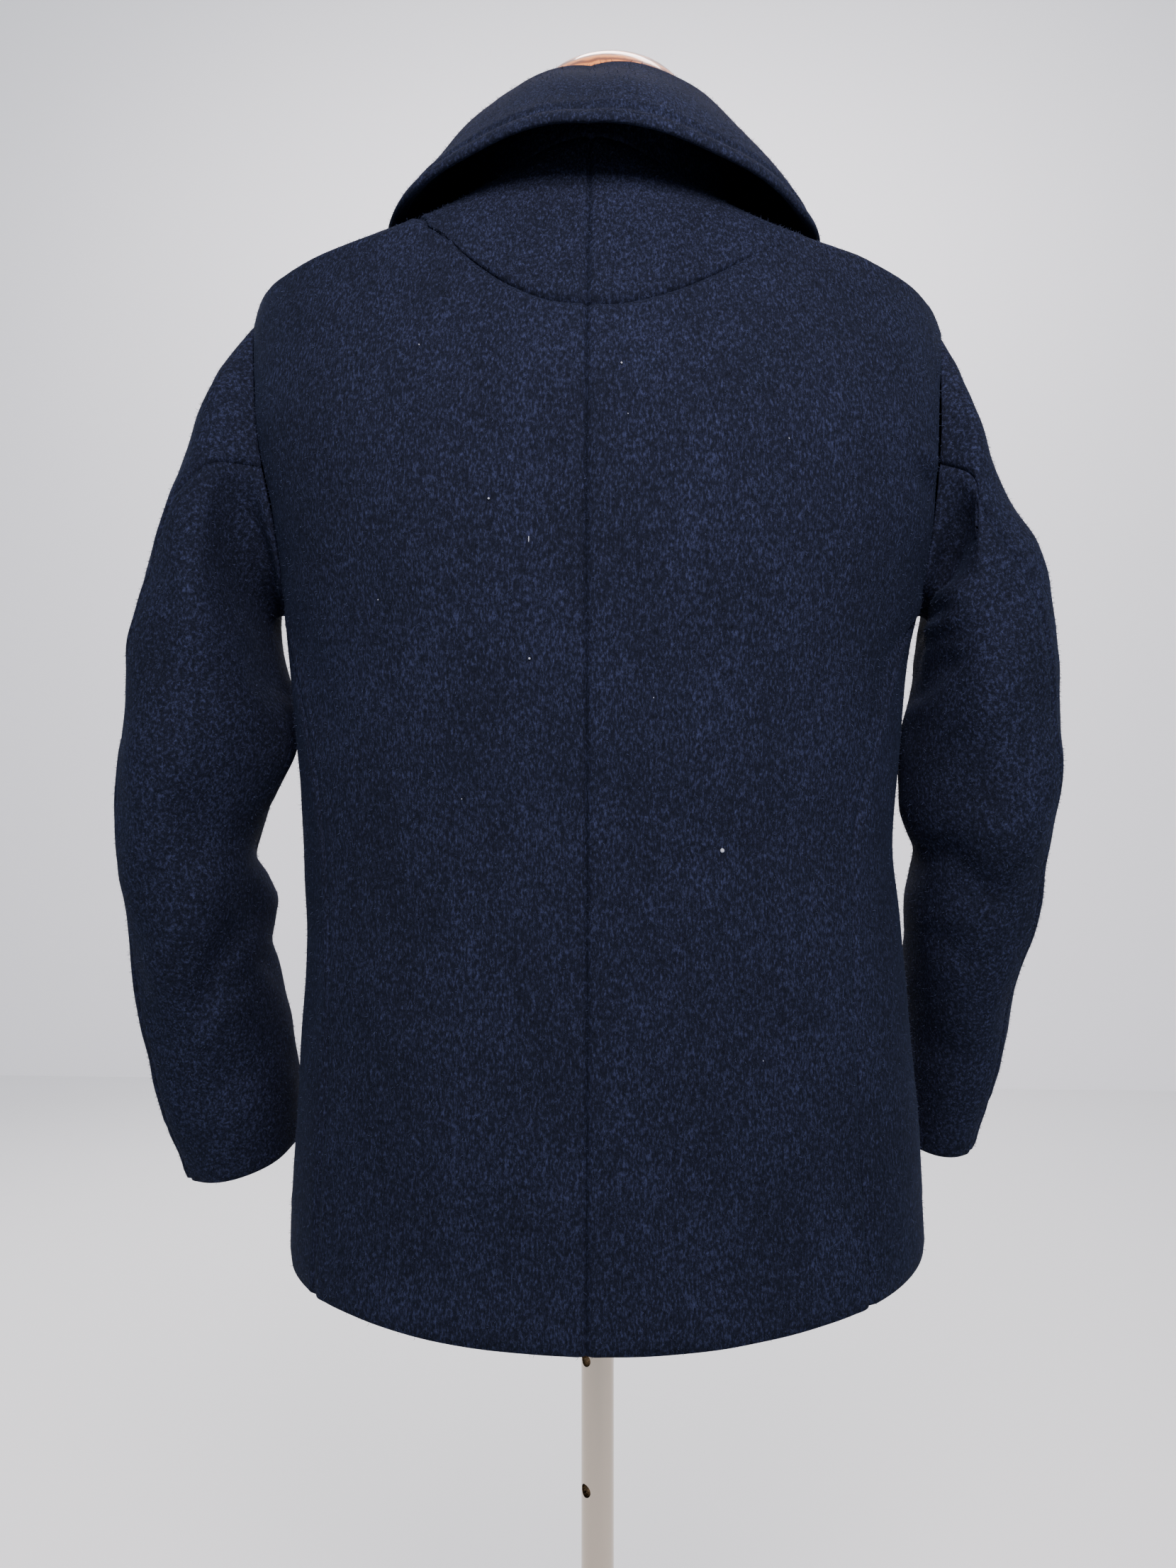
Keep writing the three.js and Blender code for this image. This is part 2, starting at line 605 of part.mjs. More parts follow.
function collarGeometry() {
  const last = COLLAR.at(-1)[0];
  const angles = [
    ...span(0, BACK_COLS, (j) => neckAngle(j / BACK_COLS)),
    ...span(1, FRONT_COLS, (j) => frontAngle(90, j)).filter((a) => a < last - 3),
    last,
  ];
  const sections = [
    ...angles.slice(1).toReversed().map((angle) => collarSection(1, angle)),
    ...angles.map((angle) => collarSection(-1, angle)),
  ];
  const middle = COLLAR_ROWS.map((p) =>
    sections.map(({ path }) => {
      const k = Math.min(Math.floor(p), path.length - 2);
      const keyed = path.map((v, i) => [i, v.x, v.y, v.z]);
      return new THREE.Vector3(...[1, 2, 3].map((c) => hermite(keyed, k, c, p)));
    }),
  );
  const grid = middle.map((row, i) =>
    row.map((point, j) => {
      const rise = middle[Math.min(i + 1, middle.length - 1)][j].clone();
      rise.sub(middle[Math.max(i - 1, 0)][j]);
      const round = row[Math.min(j + 1, row.length - 1)].clone().sub(row[Math.max(j - 1, 0)]);
      const normal = rise.cross(round).normalize();
      return {
        outer: sum(point, normal, COLLAR_CLOTH / 2),
        inner: sum(point, normal, -COLLAR_CLOTH / 2),
      };
    }),
  );
  sections.forEach(({ neck, rise }, j) => {
    const base = sum(neck.outer, rise, COLLAR_SEAM);
    const sides = [base, sum(base, neck.normal, -COLLAR_CLOTH)];
    const outerIsOut = grid[1][j].outer.clone().sub(grid[1][j].inner).dot(neck.normal) > 0;
    [grid[0][j].outer, grid[0][j].inner] = outerIsOut ? sides : sides.toReversed();
  });
  return wallOf(grid);
}

// A closed shape through rings of points, with a point at each end.
function lofted(start, rings, end) {
  const count = rings[0].length;
  const points = [start, ...rings.flat(), end];
  const at = (i, j) => 1 + i * count + (j % count);
  const faces = [];
  for (let j = 0; j < count; j += 1) {
    faces.push(0, at(0, j + 1), at(0, j));
    for (let i = 0; i < rings.length - 1; i += 1) {
      faces.push(at(i, j), at(i, j + 1), at(i + 1, j + 1), at(i, j), at(i + 1, j + 1), at(i + 1, j));
    }
    faces.push(points.length - 1, at(rings.length - 1, j), at(rings.length - 1, j + 1));
  }
  return closed(points, faces);
}

// A turned shape from its profile of [radius, height] places, which starts and ends on the axis.
function turned(profile, segments) {
  const rings = profile.slice(1, -1).map(([r, z]) =>
    span(0, segments - 1, (k) => {
      const a = (2 * Math.PI * k) / segments;
      return new THREE.Vector3(r * Math.cos(a), r * Math.sin(a), z);
    }),
  );
  const end = ([, z]) => new THREE.Vector3(0, 0, z);
  return lofted(end(profile[0]), rings, end(profile.at(-1)));
}

const TORSO_SEGMENTS = 32;

// A point of the torso under the jacket: angle runs from the centre back round by the left.
function torsoPoint(h, angle) {
  const row = lookUp(TORSO_COLUMNS, TORSO, h);
  const { mid } = lookUp(BODY_COLUMNS, BODY, h);
  const [side, turn] = angle <= 180 ? [1, angle] : [-1, 360 - angle];
  const clear = Math.min(Math.abs(turn - 90) * 0.12, 5);
  const inset = CLOTH + GAP + clear + 2 * smoothstep(120, 150, turn);
  const point = sum(bodyPoint(side, h, turn), bodyNormal(side, h, turn), -inset);
  point.x *= 1 - row.narrow;
  point.y = mid + (point.y - mid) * (1 - row.shallow);
  return point;
}

function torsoGeometry() {
  const angles = span(0, TORSO_SEGMENTS - 1, (k) => (360 * k) / TORSO_SEGMENTS);
  const circle = (radius, z, { x = 0, y = 0 } = {}) =>
    angles.map((a) => new THREE.Vector3(x + radius * Math.sin(a * DEG), y + radius * Math.cos(a * DEG), z));
  const heights = TORSO.map(([h]) => h);
  const shoulder = steps(SHOULDER_POINT, MOON_TOP, SHOULDER_ROWS);
  const loops = [...steps(heights[0], 1235, 7), ...steps(1235, SHOULDER_POINT, 4), ...shoulder];
  const root = angles.map((a) => torsoPoint(MOON_TOP, a));
  const top = circle(NECK_RADIUS, NECK_TOP, NECK_AXIS);
  const neck = [0.08, 0.2, 0.4, 0.7, 1].map((s) =>
    root.map((point, k) => {
      const eased = 1 - (1 - s) ** 8;
      return new THREE.Vector3(
        mix(point.x, top[k].x - NECK_AXIS.x * (1 - s), eased),
        mix(point.y, top[k].y, eased),
        mix(point.z, top[k].z, s),
      );
    }),
  );
  const socket = POLE_RADIUS + GAP;
  const floor = heights[0] - 2;
  return lofted(
    new THREE.Vector3(0, 0, POLE_TOP + GAP),
    [
      circle(socket, POLE_TOP + GAP),
      circle(socket, floor),
      ...[heights[0], ...loops].map((h) => angles.map((a) => torsoPoint(h, a))),
      ...neck,
    ],
    new THREE.Vector3(NECK_AXIS.x, NECK_AXIS.y, NECK_TOP),
  );
}

function capGeometry() {
  const rimTop = NECK_TOP + GAP + CAP_RIM;
  const dome = span(0, 6, (k) => {
    const a = (90 * k) / 6;
    return [CAP_RADIUS * Math.cos(a * DEG), mix(rimTop, CAP_TOP, Math.sin(a * DEG))];
  });
  const low = NECK_TOP + GAP;
  const profile = [[0, low], [CAP_RADIUS - 3, low], [CAP_RADIUS, low + 3], ...dome.slice(0, -1), [0, CAP_TOP]];
  return turned(profile, 28).translate(NECK_AXIS.x, NECK_AXIS.y, 0);
}

// A closed geometry as a solid that can be cut.
function solid(geometry) {
  geometry.deleteAttribute("normal");
  geometry.deleteAttribute("uv");
  const merged = mergeVertices(geometry);
  const vertProperties = merged.getAttribute("position").array;
  const triVerts = new Uint32Array(merged.index.array);
  return new wasm.Manifold(new wasm.Mesh({ numProp: 3, vertProperties, triVerts }));
}

function poleGeometry() {
  const length = POLE_TOP - BASE_HEIGHT - GAP;
  const rod = new THREE.CylinderGeometry(POLE_RADIUS, POLE_RADIUS, length, 32);
  let pole = solid(rod.rotateX(90 * DEG).translate(0, 0, POLE_TOP - length / 2));
  for (let k = 0; k < POLE_HOLES; k += 1) {
    const drill = new THREE.CylinderGeometry(POLE_HOLE_RADIUS, POLE_HOLE_RADIUS, POLE_RADIUS + 2, 20);
    drill.translate(0, 3 + (POLE_RADIUS + 2) / 2, 0).rotateZ(-POLE_HOLE_TURN * DEG);
    pole = pole.subtract(solid(drill.translate(0, 0, POLE_HOLE_TOP - k * POLE_HOLE_PITCH)));
  }
  const mesh = pole.getMesh();
  const geometry = new THREE.BufferGeometry();
  geometry.setAttribute("position", new THREE.BufferAttribute(mesh.vertProperties, 3));
  geometry.setIndex(new THREE.BufferAttribute(mesh.triVerts, 1));
  geometry.computeVertexNormals();
  return geometry;
}

function baseGeometry() {
  const hole = POLE_RADIUS + GAP;
  const top = BASE_HEIGHT;
  const rim = top - 4;
  return turned(
    [
      [0, 0],
      [BASE_RADIUS - 1, 0],
      [BASE_RADIUS, 1],
      [BASE_RADIUS, rim - 1],
      [BASE_RADIUS - 1.5, rim],
      [26, top],
      [22, top + 16],
      [20, top + 18],
      [hole, top + 18],
      [hole, top],
      [0, top],
    ],
    40,
  );
}

const BUTTON_RADIUS = 10;
const BUTTON_HEIGHTS = [1300, 1195, 1090, 985, 880];

function buttonGeometry(h) {
  const { outer, normal } = bodyCell(1, h, 180);
  const shape = turned(
    [
      [0, 0],
      [BUTTON_RADIUS - 1.5, 0],
      [BUTTON_RADIUS, 1.4],
      [BUTTON_RADIUS, 2.6],
      [BUTTON_RADIUS - 1.2, 3.6],
      [BUTTON_RADIUS - 3, 3.6],
      [BUTTON_RADIUS - 4.2, 2.8],
      [0, 2.8],
    ],
    14,
  );
  const turn = new THREE.Quaternion().setFromUnitVectors(new THREE.Vector3(0, 0, 1), normal);
  const seat = sum(outer, normal, GAP);
  return shape.applyQuaternion(turn).translate(seat.x, seat.y, seat.z);
}

const material = (color, metalness, roughness) =>
  new THREE.MeshStandardMaterial({ color, metalness, roughness });
const wool = material(0x242c40, 0, 0.95);
const linen = material(0xb9ae9b, 0, 0.9);
const lacqueredWood = material(0x9a5a24, 0, 0.3);
const chrome = material(0xc9ccd0, 1, 0.2);
const horn = material(0x20222a, 0, 0.4);

const jacketOnForm = new THREE.Group();
const add = (name, geometry, look) => {
  const mesh = new THREE.Mesh(geometry, look);
  mesh.name = name;
  jacketOnForm.add(mesh);
};

for (const [side, name] of [[1, "left"], [-1, "right"]]) {
  add(`back_${name}`, backPanel(side), wool);
  add(`yoke_${name}`, yokePanel(side), wool);
  add(`front_${name}`, frontPanel(side), wool);
  const hind = side > 0 ? "hindLeft" : "hindRight";
  add(`sleeve_top_${name}`, sleeveHalf(side, overArm, (row) => [row.fore - 360, row[hind]]), wool);
  add(`sleeve_under_${name}`, sleeveHalf(side, underArm, (row) => [row[hind], row.fore]), wool);
}
add("collar", collarGeometry(), wool);
BUTTON_HEIGHTS.forEach((h, k) => add(`button_${k + 1}`, buttonGeometry(h), horn));
add("form_torso", torsoGeometry(), linen);
add("form_neck_cap", capGeometry(), lacqueredWood);
add("form_pole", poleGeometry(), chrome);
add("form_base", baseGeometry(), chrome);

export default jacketOnForm;
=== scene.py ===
"""A work jacket of heavy boiled wool on a limbless dress form, seen from behind.

Lengths in the tables are millimetres. The jacket's front faces -Y and its left side is at +X.
"""
import math

import bmesh
import bpy
import numpy as np
from mathutils import Matrix, Quaternion, Vector


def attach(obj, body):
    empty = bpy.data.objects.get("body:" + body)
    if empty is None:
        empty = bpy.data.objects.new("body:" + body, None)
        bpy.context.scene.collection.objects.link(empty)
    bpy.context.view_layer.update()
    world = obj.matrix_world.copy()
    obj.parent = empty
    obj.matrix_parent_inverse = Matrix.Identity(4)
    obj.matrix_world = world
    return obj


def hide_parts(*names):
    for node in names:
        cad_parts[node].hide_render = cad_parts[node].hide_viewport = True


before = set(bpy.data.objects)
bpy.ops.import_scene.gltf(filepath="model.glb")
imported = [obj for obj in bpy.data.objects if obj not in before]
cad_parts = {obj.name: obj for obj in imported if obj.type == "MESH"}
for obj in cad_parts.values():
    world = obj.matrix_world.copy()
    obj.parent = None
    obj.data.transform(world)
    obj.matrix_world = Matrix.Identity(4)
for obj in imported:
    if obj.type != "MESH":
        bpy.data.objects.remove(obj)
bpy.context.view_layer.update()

MM = 0.001
CLOTH = 2.6  # the wool as it shows, a little thinner than its solids
HEM_CLOTH = 4.6  # where it is folded up inside at the hem and the cuffs
COLLAR_CLOTH = 5.0
LAP = 1.65  # each front's step where the two overlap
LAP_STEP = (150, 168)  # the angles from the centre back between which a front takes that step
SOLID_CLOTH = 3  # as thick as the panels' solids
GAP = 0.3  # between pieces that rest on each other
HEM_DEPTH = 30  # how far the cloth is turned up
CUFF_DEPTH = 40
FACING = 36  # by the front edges the hem is thinned to lie flat
CALM = 12  # folds fade out this near a seam
EDGE_WIDTH = 2.2  # how wide the cloth rounds off at the hem and the cuffs
HEM = 700
NECK = 1400
SHOULDER_POINT = 1345
SIDE_SEAM_TURN = 165
HINDARM_TURN = 100
FOREARM_TURN = 285
LAP_ANGLE = 8
COLLAR_END = 170
SEED = 7
CENTRE_SEAM = (1.7, 1.7, 0.45)  # depth, width and puff
MOON_SEAM = (2.4, 2.2, 0.6)
NAP_LENGTH = (1.5, 3.8)
NAP_HALF_WIDTH = 0.12
NAP_WILD = 0.6  # how far its fibres stray from the way they are brushed

# Closed loops round the body, named by height at the centre back: half widths on the wearer's left and
# right, y at the back and the front, y of the side line, heights at each side and the front, squareness.
BODY = [
    (700, 203, 213, 143, -146, 0, 712, 722, 700, 2.3),
    (760, 200, 210, 141, -144, 0, 767, 773, 760, 2.33),
    (840, 195, 205, 139, -141, 0, 842, 844, 840, 2.35),
    (920, 192, 198, 138, -139, 0, 920, 920, 919, 2.35),
    (985, 194, 192, 139, -139, 0, 985, 984, 982, 2.35),
    (1050, 197, 196.5, 143, -143, 0, 1049, 1048, 1043, 2.35),
    (1110, 202, 203, 147, -147, 0, 1107, 1106, 1097, 2.35),
    (1145, 206, 211, 149, -148, 0, 1141, 1139, 1128, 2.35),
    (1181, 213, 220, 149, -145, 0, 1176, 1173, 1159, 2.35),
    (1235, 225, 227, 145, -134, 0, 1227, 1222, 1204, 2.35),
    (1290, 229, 226, 131, -114, 0, 1279, 1268, 1248, 2.35),
    (1345, 226, 219, 112, -92, 0, 1328, 1312, 1288, 2.3),
    (1351, 212, 205, 110, -89, 1, 1331, 1315, 1292, 2.28),
    (1372.5, 157, 153, 101, -77, 6, 1341, 1330, 1308, 2.2),
    (1400, 88, 86, 90, -62, 12, 1360, 1354, 1326, 2.1),
]

# The side seam's angle from the centre back on the left and the right, at each height.
SIDE_SEAM = [
    (700, 51.5, 46.5),
    (800, 51, 46),
    (900, 51, 46.5),
    (985, 53, 50),
    (1050, 58, 57),
    (1110, 68, 67),
    (1136, 80.3, 80.3),
]

# The armhole: turn from the shoulder point by the back and under the arm, then angle and height.
ARMHOLE = [
    (0, 90, 1345),
    (30, 75, 1326),
    (60, 66.5, 1282),
    (90, 64, 1235),
    (120, 66.5, 1186),
    (145, 72.5, 1147),
    (165, 80.3, 1136),
    (185, 89, 1132),
    (212, 102, 1144),
    (240, 113, 1175),
    (270, 118, 1218),
    (300, 116, 1264),
    (330, 106, 1316),
    (360, 90, 1345),
]

# The yoke's half-moon seam: share of the way from the centre back, then angle and height. Lower on the right.
MOON_LEFT = [
    (0, 0, 1284),
    (0.15, 5.5, 1288),
    (0.3, 11, 1299),
    (0.45, 16.5, 1317),
    (0.6, 23, 1343),
    (0.75, 36, 1367),
    (0.88, 60, 1381),
    (1, 90, 1388),
]
MOON_RIGHT = [
    (0, 0, 1284),
    (0.15, 5.5, 1285),
    (0.3, 11.5, 1292),
    (0.45, 18, 1306),
    (0.6, 26, 1328),
    (0.75, 40, 1357),
    (0.88, 62, 1378),
    (1, 90, 1388),
]
MOON = {1: MOON_LEFT, -1: MOON_RIGHT}
MOON_LOW = MOON_LEFT[0][2]
MOON_TOP = MOON_LEFT[-1][2]

# Sections of the sleeves by distance down: outer and inner end (x, z), middle and half depth in y, how far
# the back edge hangs, how the inner half narrows.
SLEEVE_LEFT = [
    (38, 244, 1294, 214, 1121, 6, 73, 4, 1.4),
    (95, 263, 1239, 212, 1088, 12, 76, 6, 1.35),
    (160, 286, 1176, 199, 1046, 17, 76, 6, 1.4),
    (230, 301, 1106, 214, 1006, 18, 74, 5, 1.6),
    (300, 309, 1036, 230, 970, 15, 71, 3, 1.9),
    (385, 313, 954, 224, 924, 6, 67, 2, 2.15),
    (465, 311, 876, 220, 866, -8, 62, 4, 2.15),
    (545, 303, 800, 213, 810, -24, 56, 6, 2.15),
    (600, 290, 750, 216, 761, -36, 52, 8, 2.15),
]
SLEEVE_RIGHT = [
    (38, 231, 1281, 219, 1119, 6, 72, 4, 1.4),
    (95, 246, 1229, 208, 1086, 12, 75, 6, 1.35),
    (160, 277, 1168, 198, 1044, 16, 75, 6, 1.4),
    (230, 291, 1102, 196, 1000, 14, 74, 5, 1.6),
    (300, 296, 1036, 208, 968, 6, 71, 3, 1.9),
    (385, 293, 960, 208, 922, -12, 66, 2, 2.15),
    (465, 284, 888, 212, 868, -36, 62, 4, 2.15),
    (545, 273, 818, 213, 810, -60, 59, 6, 2.15),
    (592, 264, 769, 212, 769, -76, 56, 8, 2.15),
]
SLEEVE = {1: SLEEVE_LEFT, -1: SLEEVE_RIGHT}
SLEEVE_SQUARE = 2.15

# The sleeve's seams: hindarm turn on the left and the right, forearm turn, down the sleeve.
SLEEVE_SEAM = [
    (0, 100, 100, 285),
    (50, 78, 84, 290),
    (110, 52, 66, 296),
    (200, 40, 52, 300),
    (330, 40, 48, 302),
    (460, 44, 48, 302),
    (600, 48, 50, 302),
]

# The collar by angle from the centre back: stand, then lean, reach and drop on the left and right, bow.
COLLAR = [
    (0, 45, 14, 14, 50, 50, 19, 19, 3),
    (30, 52, 13, 4, 49, 54, 14, 15, 3),
    (45, 57, 11, 0, 51, 60, 11, 13, 2),
    (60, 56, 11, -4, 50, 63, 4, 13, 1),
    (75, 53, 10, -4, 48, 59, -1, 5, 2),
    (90, 48, 10, 2, 47, 57, 6, 8, 5),
    (120, 41, 13, 9, 40, 46, 50, 50, 8),
    (150, 36, 11, 11, 37, 37, 70, 70, 5),
    (170, 34, 10, 10, 36, 36, 80, 80, 4),
]

# The form's torso: how much narrower and shallower than the jacket's inside it is.
TORSO = [
    (762, 0.2, 0.16),
    (840, 0.18, 0.14),
    (985, 0.22, 0.18),
    (1110, 0.13, 0.1),
    (1235, 0.135, 0.04),
    (1300, 0.13, 0.01),
    (1345, 0.11, 0),
    (1355.75, 0.035, 0),
    (1366.5, 0, 0),
    (1388, 0, 0),
]
NECK_AXIS = (-9, 15)
NECK_RADIUS = 50
NECK_TOP = 1439
CAP_RADIUS = 53
CAP_RIM = 15
CAP_TOP = 1484
BASE_RADIUS = 155
BASE_HEIGHT = 9
POLE_RADIUS = 11
SOCKET_TOP = 800.3
SOCKET_MOUTH = 760
BUTTON_RADIUS = 10
BUTTON_HEIGHTS = (1300, 1195, 1090, 985, 880)


def look_up(table, at):
    """The columns of a table at places in its first column, on smooth curves through its rows."""
    rows = np.asarray(table, float)
    return hermite(rows[:, 0], rows, np.clip(at, rows[0, 0], rows[-1, 0]))


def hermite(keys, rows, at):
    """Cubics through rows of values, with slopes from the neighbouring rows.

    Where a row holds a list of places, each of at goes with its own place.
    """
    at = np.asarray(at, float)
    count = len(keys)
    before = np.maximum(np.arange(count) - 1, 0)
    after = np.minimum(np.arange(count) + 1, count - 1)
    reach = (keys[after] - keys[before]).reshape((-1,) + (1,) * (rows.ndim - 1))
    slope = (rows[after] - rows[before]) / reach
    k = np.clip(np.searchsorted(keys, at, side="left") - 1, 0, count - 2)
    width = (keys[k + 1] - keys[k])[..., None]
    s = (at - keys[k])[..., None] / width
    own = () if rows.ndim == 2 else (np.arange(rows.shape[1]),)
    here, there = (k, *own), (k + 1, *own)
    a = 2 * s**3 - 3 * s**2 + 1
    b = s**3 - 2 * s**2 + s
    d = s**3 - s**2
    return a * rows[here] + b * width * slope[here] + (1 - a) * rows[there] + d * width * slope[there]


def mix(a, b, s):
    return a + (b - a) * s


def smoothstep(low, high, v):
    s = np.clip((v - low) / (high - low), 0, 1)
    return s * s * (3 - 2 * s)


def bell(distance, width):
    """1 at no distance, and next to nothing by twice the width."""
    return np.exp(-((distance / width) ** 2))


def unit(v):
    return v / np.maximum(np.linalg.norm(v, axis=-1, keepdims=True), 1e-9)


def steps(start, end, count):
    """Places from start to end, without the start."""
    return list(np.linspace(start, end, count + 1)[1:])


def ring_radius(s, c, square):
    return (np.abs(s) ** square + np.abs(c) ** square) ** (-1 / square)


def body_point(side, h, angle):
    """The outside of the jacket's body. side is 1 for the wearer's left, -1 for the right."""
    h, angle = np.broadcast_arrays(np.asarray(h, float), np.asarray(angle, float))
    columns = np.moveaxis(look_up(BODY, h), -1, 0)
    h, left, right, back, front, mid, side_left, side_right, z_front, square = columns
    s, c = np.sin(np.radians(angle)), np.cos(np.radians(angle))
    r = ring_radius(s, c, square)
    on_left = side * s >= 0
    depth = np.where(c > 0, back - mid, mid - front)
    z_side = np.where(on_left, side_left, side_right)
    z = mix(z_side, np.where(c > 0, h, z_front), np.abs(c) ** 2.5)
    return np.stack([side * np.where(on_left, left, right) * r * s, mid + depth * r * c, z], -1)


def body_normal(side, h, angle):
    high = np.minimum(np.asarray(h, float) + 1, NECK)
    across = body_point(side, h, angle + 0.5) - body_point(side, h, angle - 0.5)
    up = body_point(side, high, angle) - body_point(side, high - 2, angle)
    return unit(np.cross(up, across)) * side


def body_cloth(side, h, angle):
    """Places and normals on the outside of the body. The left front steps out to lap over the right."""
    normal = body_normal(side, h, angle)
    step = side * LAP * smoothstep(*LAP_STEP, angle)
    return body_point(side, h, angle) + normal * step[..., None], normal


def armhole_point(side, turn):
    _, angle, h = np.moveaxis(look_up(ARMHOLE, np.mod(turn, 360)), -1, 0)
    return body_point(side, h, angle)


def sleeve_point(side, down, turn):
    """The outside of a sleeve, down it by a distance and round it by a turn."""
    sections = SLEEVE[side]
    down, turn = np.broadcast_arrays(np.asarray(down, float), np.asarray(turn, float))
    shape, down, turn = down.shape, down.ravel(), turn.ravel()
    s, c = np.sin(np.radians(turn)), np.cos(np.radians(turn))
    rings = [armhole_point(side, turn)]
    for _, out_x, out_z, in_x, in_z, mid_y, deep, drop, pinch in sections:
        r = ring_radius(s, c, np.where(c < 0, pinch, SLEEVE_SQUARE))
        x = (out_x + in_x) / 2 + (out_x - in_x) / 2 * c * r
        z = (out_z + in_z) / 2 + (out_z - in_z) / 2 * c * r - drop * s * r
        rings.append(np.stack([side * x, mid_y + deep * s * r, z], -1))
    keys = np.array([0] + [row[0] for row in sections], float)
    return hermite(keys, np.array(rings), down).reshape(shape + (3,))


def sleeve_normal(side, down, turn):
    length = SLEEVE[side][-1][0]
    high = np.clip(down + 2, 4, length)
    along = sleeve_point(side, high, turn) - sleeve_point(side, high - 4, turn)
    around = sleeve_point(side, down, turn + 1) - sleeve_point(side, down, turn - 1)
    return unit(np.cross(along, around)) * side


FINE = 5  # rows of a panel for each row of its solid
SIDE_ROWS = 11 * FINE
SHOULDER_ROWS = 4 * FINE
YOKE_ROWS = 4 * FINE
BACK_COLS = 70
FRONT_COLS = 84
LAP_COLS = 14
BACK_FOOT = 1105  # where the rows from the armhole's foot and top meet the centre back and the front edge
BACK_TOP = 1262
FRONT_FOOT = 1050
BACK_TURNS = steps(SIDE_SEAM_TURN, HINDARM_TURN, 6 * FINE) + steps(HINDARM_TURN, 0, 8 * FINE)
FRONT_TURNS = steps(SIDE_SEAM_TURN, FOREARM_TURN, 10 * FINE) + steps(FOREARM_TURN, 360, 7 * FINE)


def side_edge(side, turns, shoulder):
    """Heights and angles up the side seam, round the armhole and along the shoulder seam."""
    seam_h = np.array([HEM] + steps(HEM, SIDE_SEAM[-1][0], SIDE_ROWS))
    seam = look_up(SIDE_SEAM, seam_h)
    hole = look_up(ARMHOLE, np.mod(turns, 360))
    h = np.concatenate([seam_h, hole[:, 2], shoulder])
    angle = np.concatenate([seam[:, 1 if side > 0 else 2], hole[:, 1], np.full(len(shoulder), 90.0)])
    return h, angle


def back_grid(side):
    h, angle = side_edge(side, BACK_TURNS, steps(SHOULDER_POINT, MOON_TOP, SHOULDER_ROWS))
    centre = [HEM] + steps(HEM, BACK_FOOT, SIDE_ROWS) + steps(BACK_FOOT, BACK_TOP, len(BACK_TURNS))
    centre = np.array(centre + steps(BACK_TOP, MOON_LOW, SHOULDER_ROWS))[:, None]
    u = 1 - np.arange(BACK_COLS + 1) / BACK_COLS
    moon = look_up(MOON[side], u)
    rise = (moon[:, 2] - MOON_LOW) / (MOON_TOP - MOON_LOW)
    near = np.maximum((centre - BACK_FOOT) / (MOON_LOW - BACK_FOOT), 0) ** 3
    share = mix(u**1.6, rise, near)
    heights = mix(centre, h[:, None], share)
    angles = mix(angle[:, None] * u, moon[:, 1] * angle[:, None] / 90, near)
    return body_cloth(side, heights, angles)


def neck_angle(u):
    return mix(90 * u, look_up(MOON_LEFT, u)[..., 1], 0.4)


def yoke_grid(side):
    v = np.linspace(0, 1, YOKE_ROWS + 1)[:, None]
    u = 1 - np.arange(BACK_COLS + 1) / BACK_COLS
    moon = look_up(MOON[side], u)
    return body_cloth(side, mix(moon[:, 2], NECK, v), mix(moon[:, 1], neck_angle(u), v))


def front_grid(side):
    shoulder = steps(SHOULDER_POINT, MOON_TOP, SHOULDER_ROWS) + steps(MOON_TOP, NECK, YOKE_ROWS)
    h, angle = side_edge(side, FRONT_TURNS, shoulder)
    free = [HEM] + steps(HEM, FRONT_FOOT, SIDE_ROWS) + steps(FRONT_FOOT, SHOULDER_POINT, len(FRONT_TURNS))
    free = np.array(free + shoulder)[:, None]
    inner = FRONT_COLS - LAP_COLS
    u = np.minimum(np.arange(FRONT_COLS + 1) / inner, 1)
    lap = np.maximum(np.arange(FRONT_COLS + 1) - inner, 0) / LAP_COLS
    angles = mix(angle[:, None], 180 - LAP_ANGLE, u) + lap * 2 * LAP_ANGLE
    return body_cloth(side, mix(h[:, None], free, 1 - (1 - u) ** 1.5), angles)


SLEEVE_ROWS = 130
TOP_COLS = 64
UNDER_COLS = 56


def sleeve_grid(side, upper):
    """Half of a two-piece sleeve, from one of its seams round to the other."""
    length = SLEEVE[side][-1][0]
    down = length * np.linspace(0, 1, SLEEVE_ROWS + 1) ** 1.25
    seams = look_up(SLEEVE_SEAM, down)
    hind, fore = seams[:, 1 if side > 0 else 2], seams[:, 3]
    start, end = (fore - 360, hind) if upper else (hind, fore)
    s = np.linspace(0, 1, (TOP_COLS if upper else UNDER_COLS) + 1)
    turn = mix(start[:, None], end[:, None], s)
    down = np.broadcast_to(down[:, None], turn.shape)
    return sleeve_point(side, down, turn), sleeve_normal(side, down, turn), turn


def body_under(side, point):
    """Height and angle of the body straight under points near the neck, by halving."""
    low = np.full(point.shape[:-1], 1250.0)
    high = np.full(point.shape[:-1], float(NECK))

    def place(h):
        _, left, right, back, front, mid, _, _, _, square = np.moveaxis(look_up(BODY, h), -1, 0)
        y = point[..., 1] - mid
        across = np.abs(point[..., 0]) / (left if side > 0 else right)
        along = y / np.where(y > 0, back - mid, mid - front)
        return (across**square + np.abs(along) ** square) ** (1 / square), np.arctan2(across, along)

    for _ in range(24):
        middle = (low + high) / 2
        outside = place(middle)[0] > 1
        high, low = np.where(outside, middle, high), np.where(outside, low, middle)
    return low, np.degrees(place(low)[1])


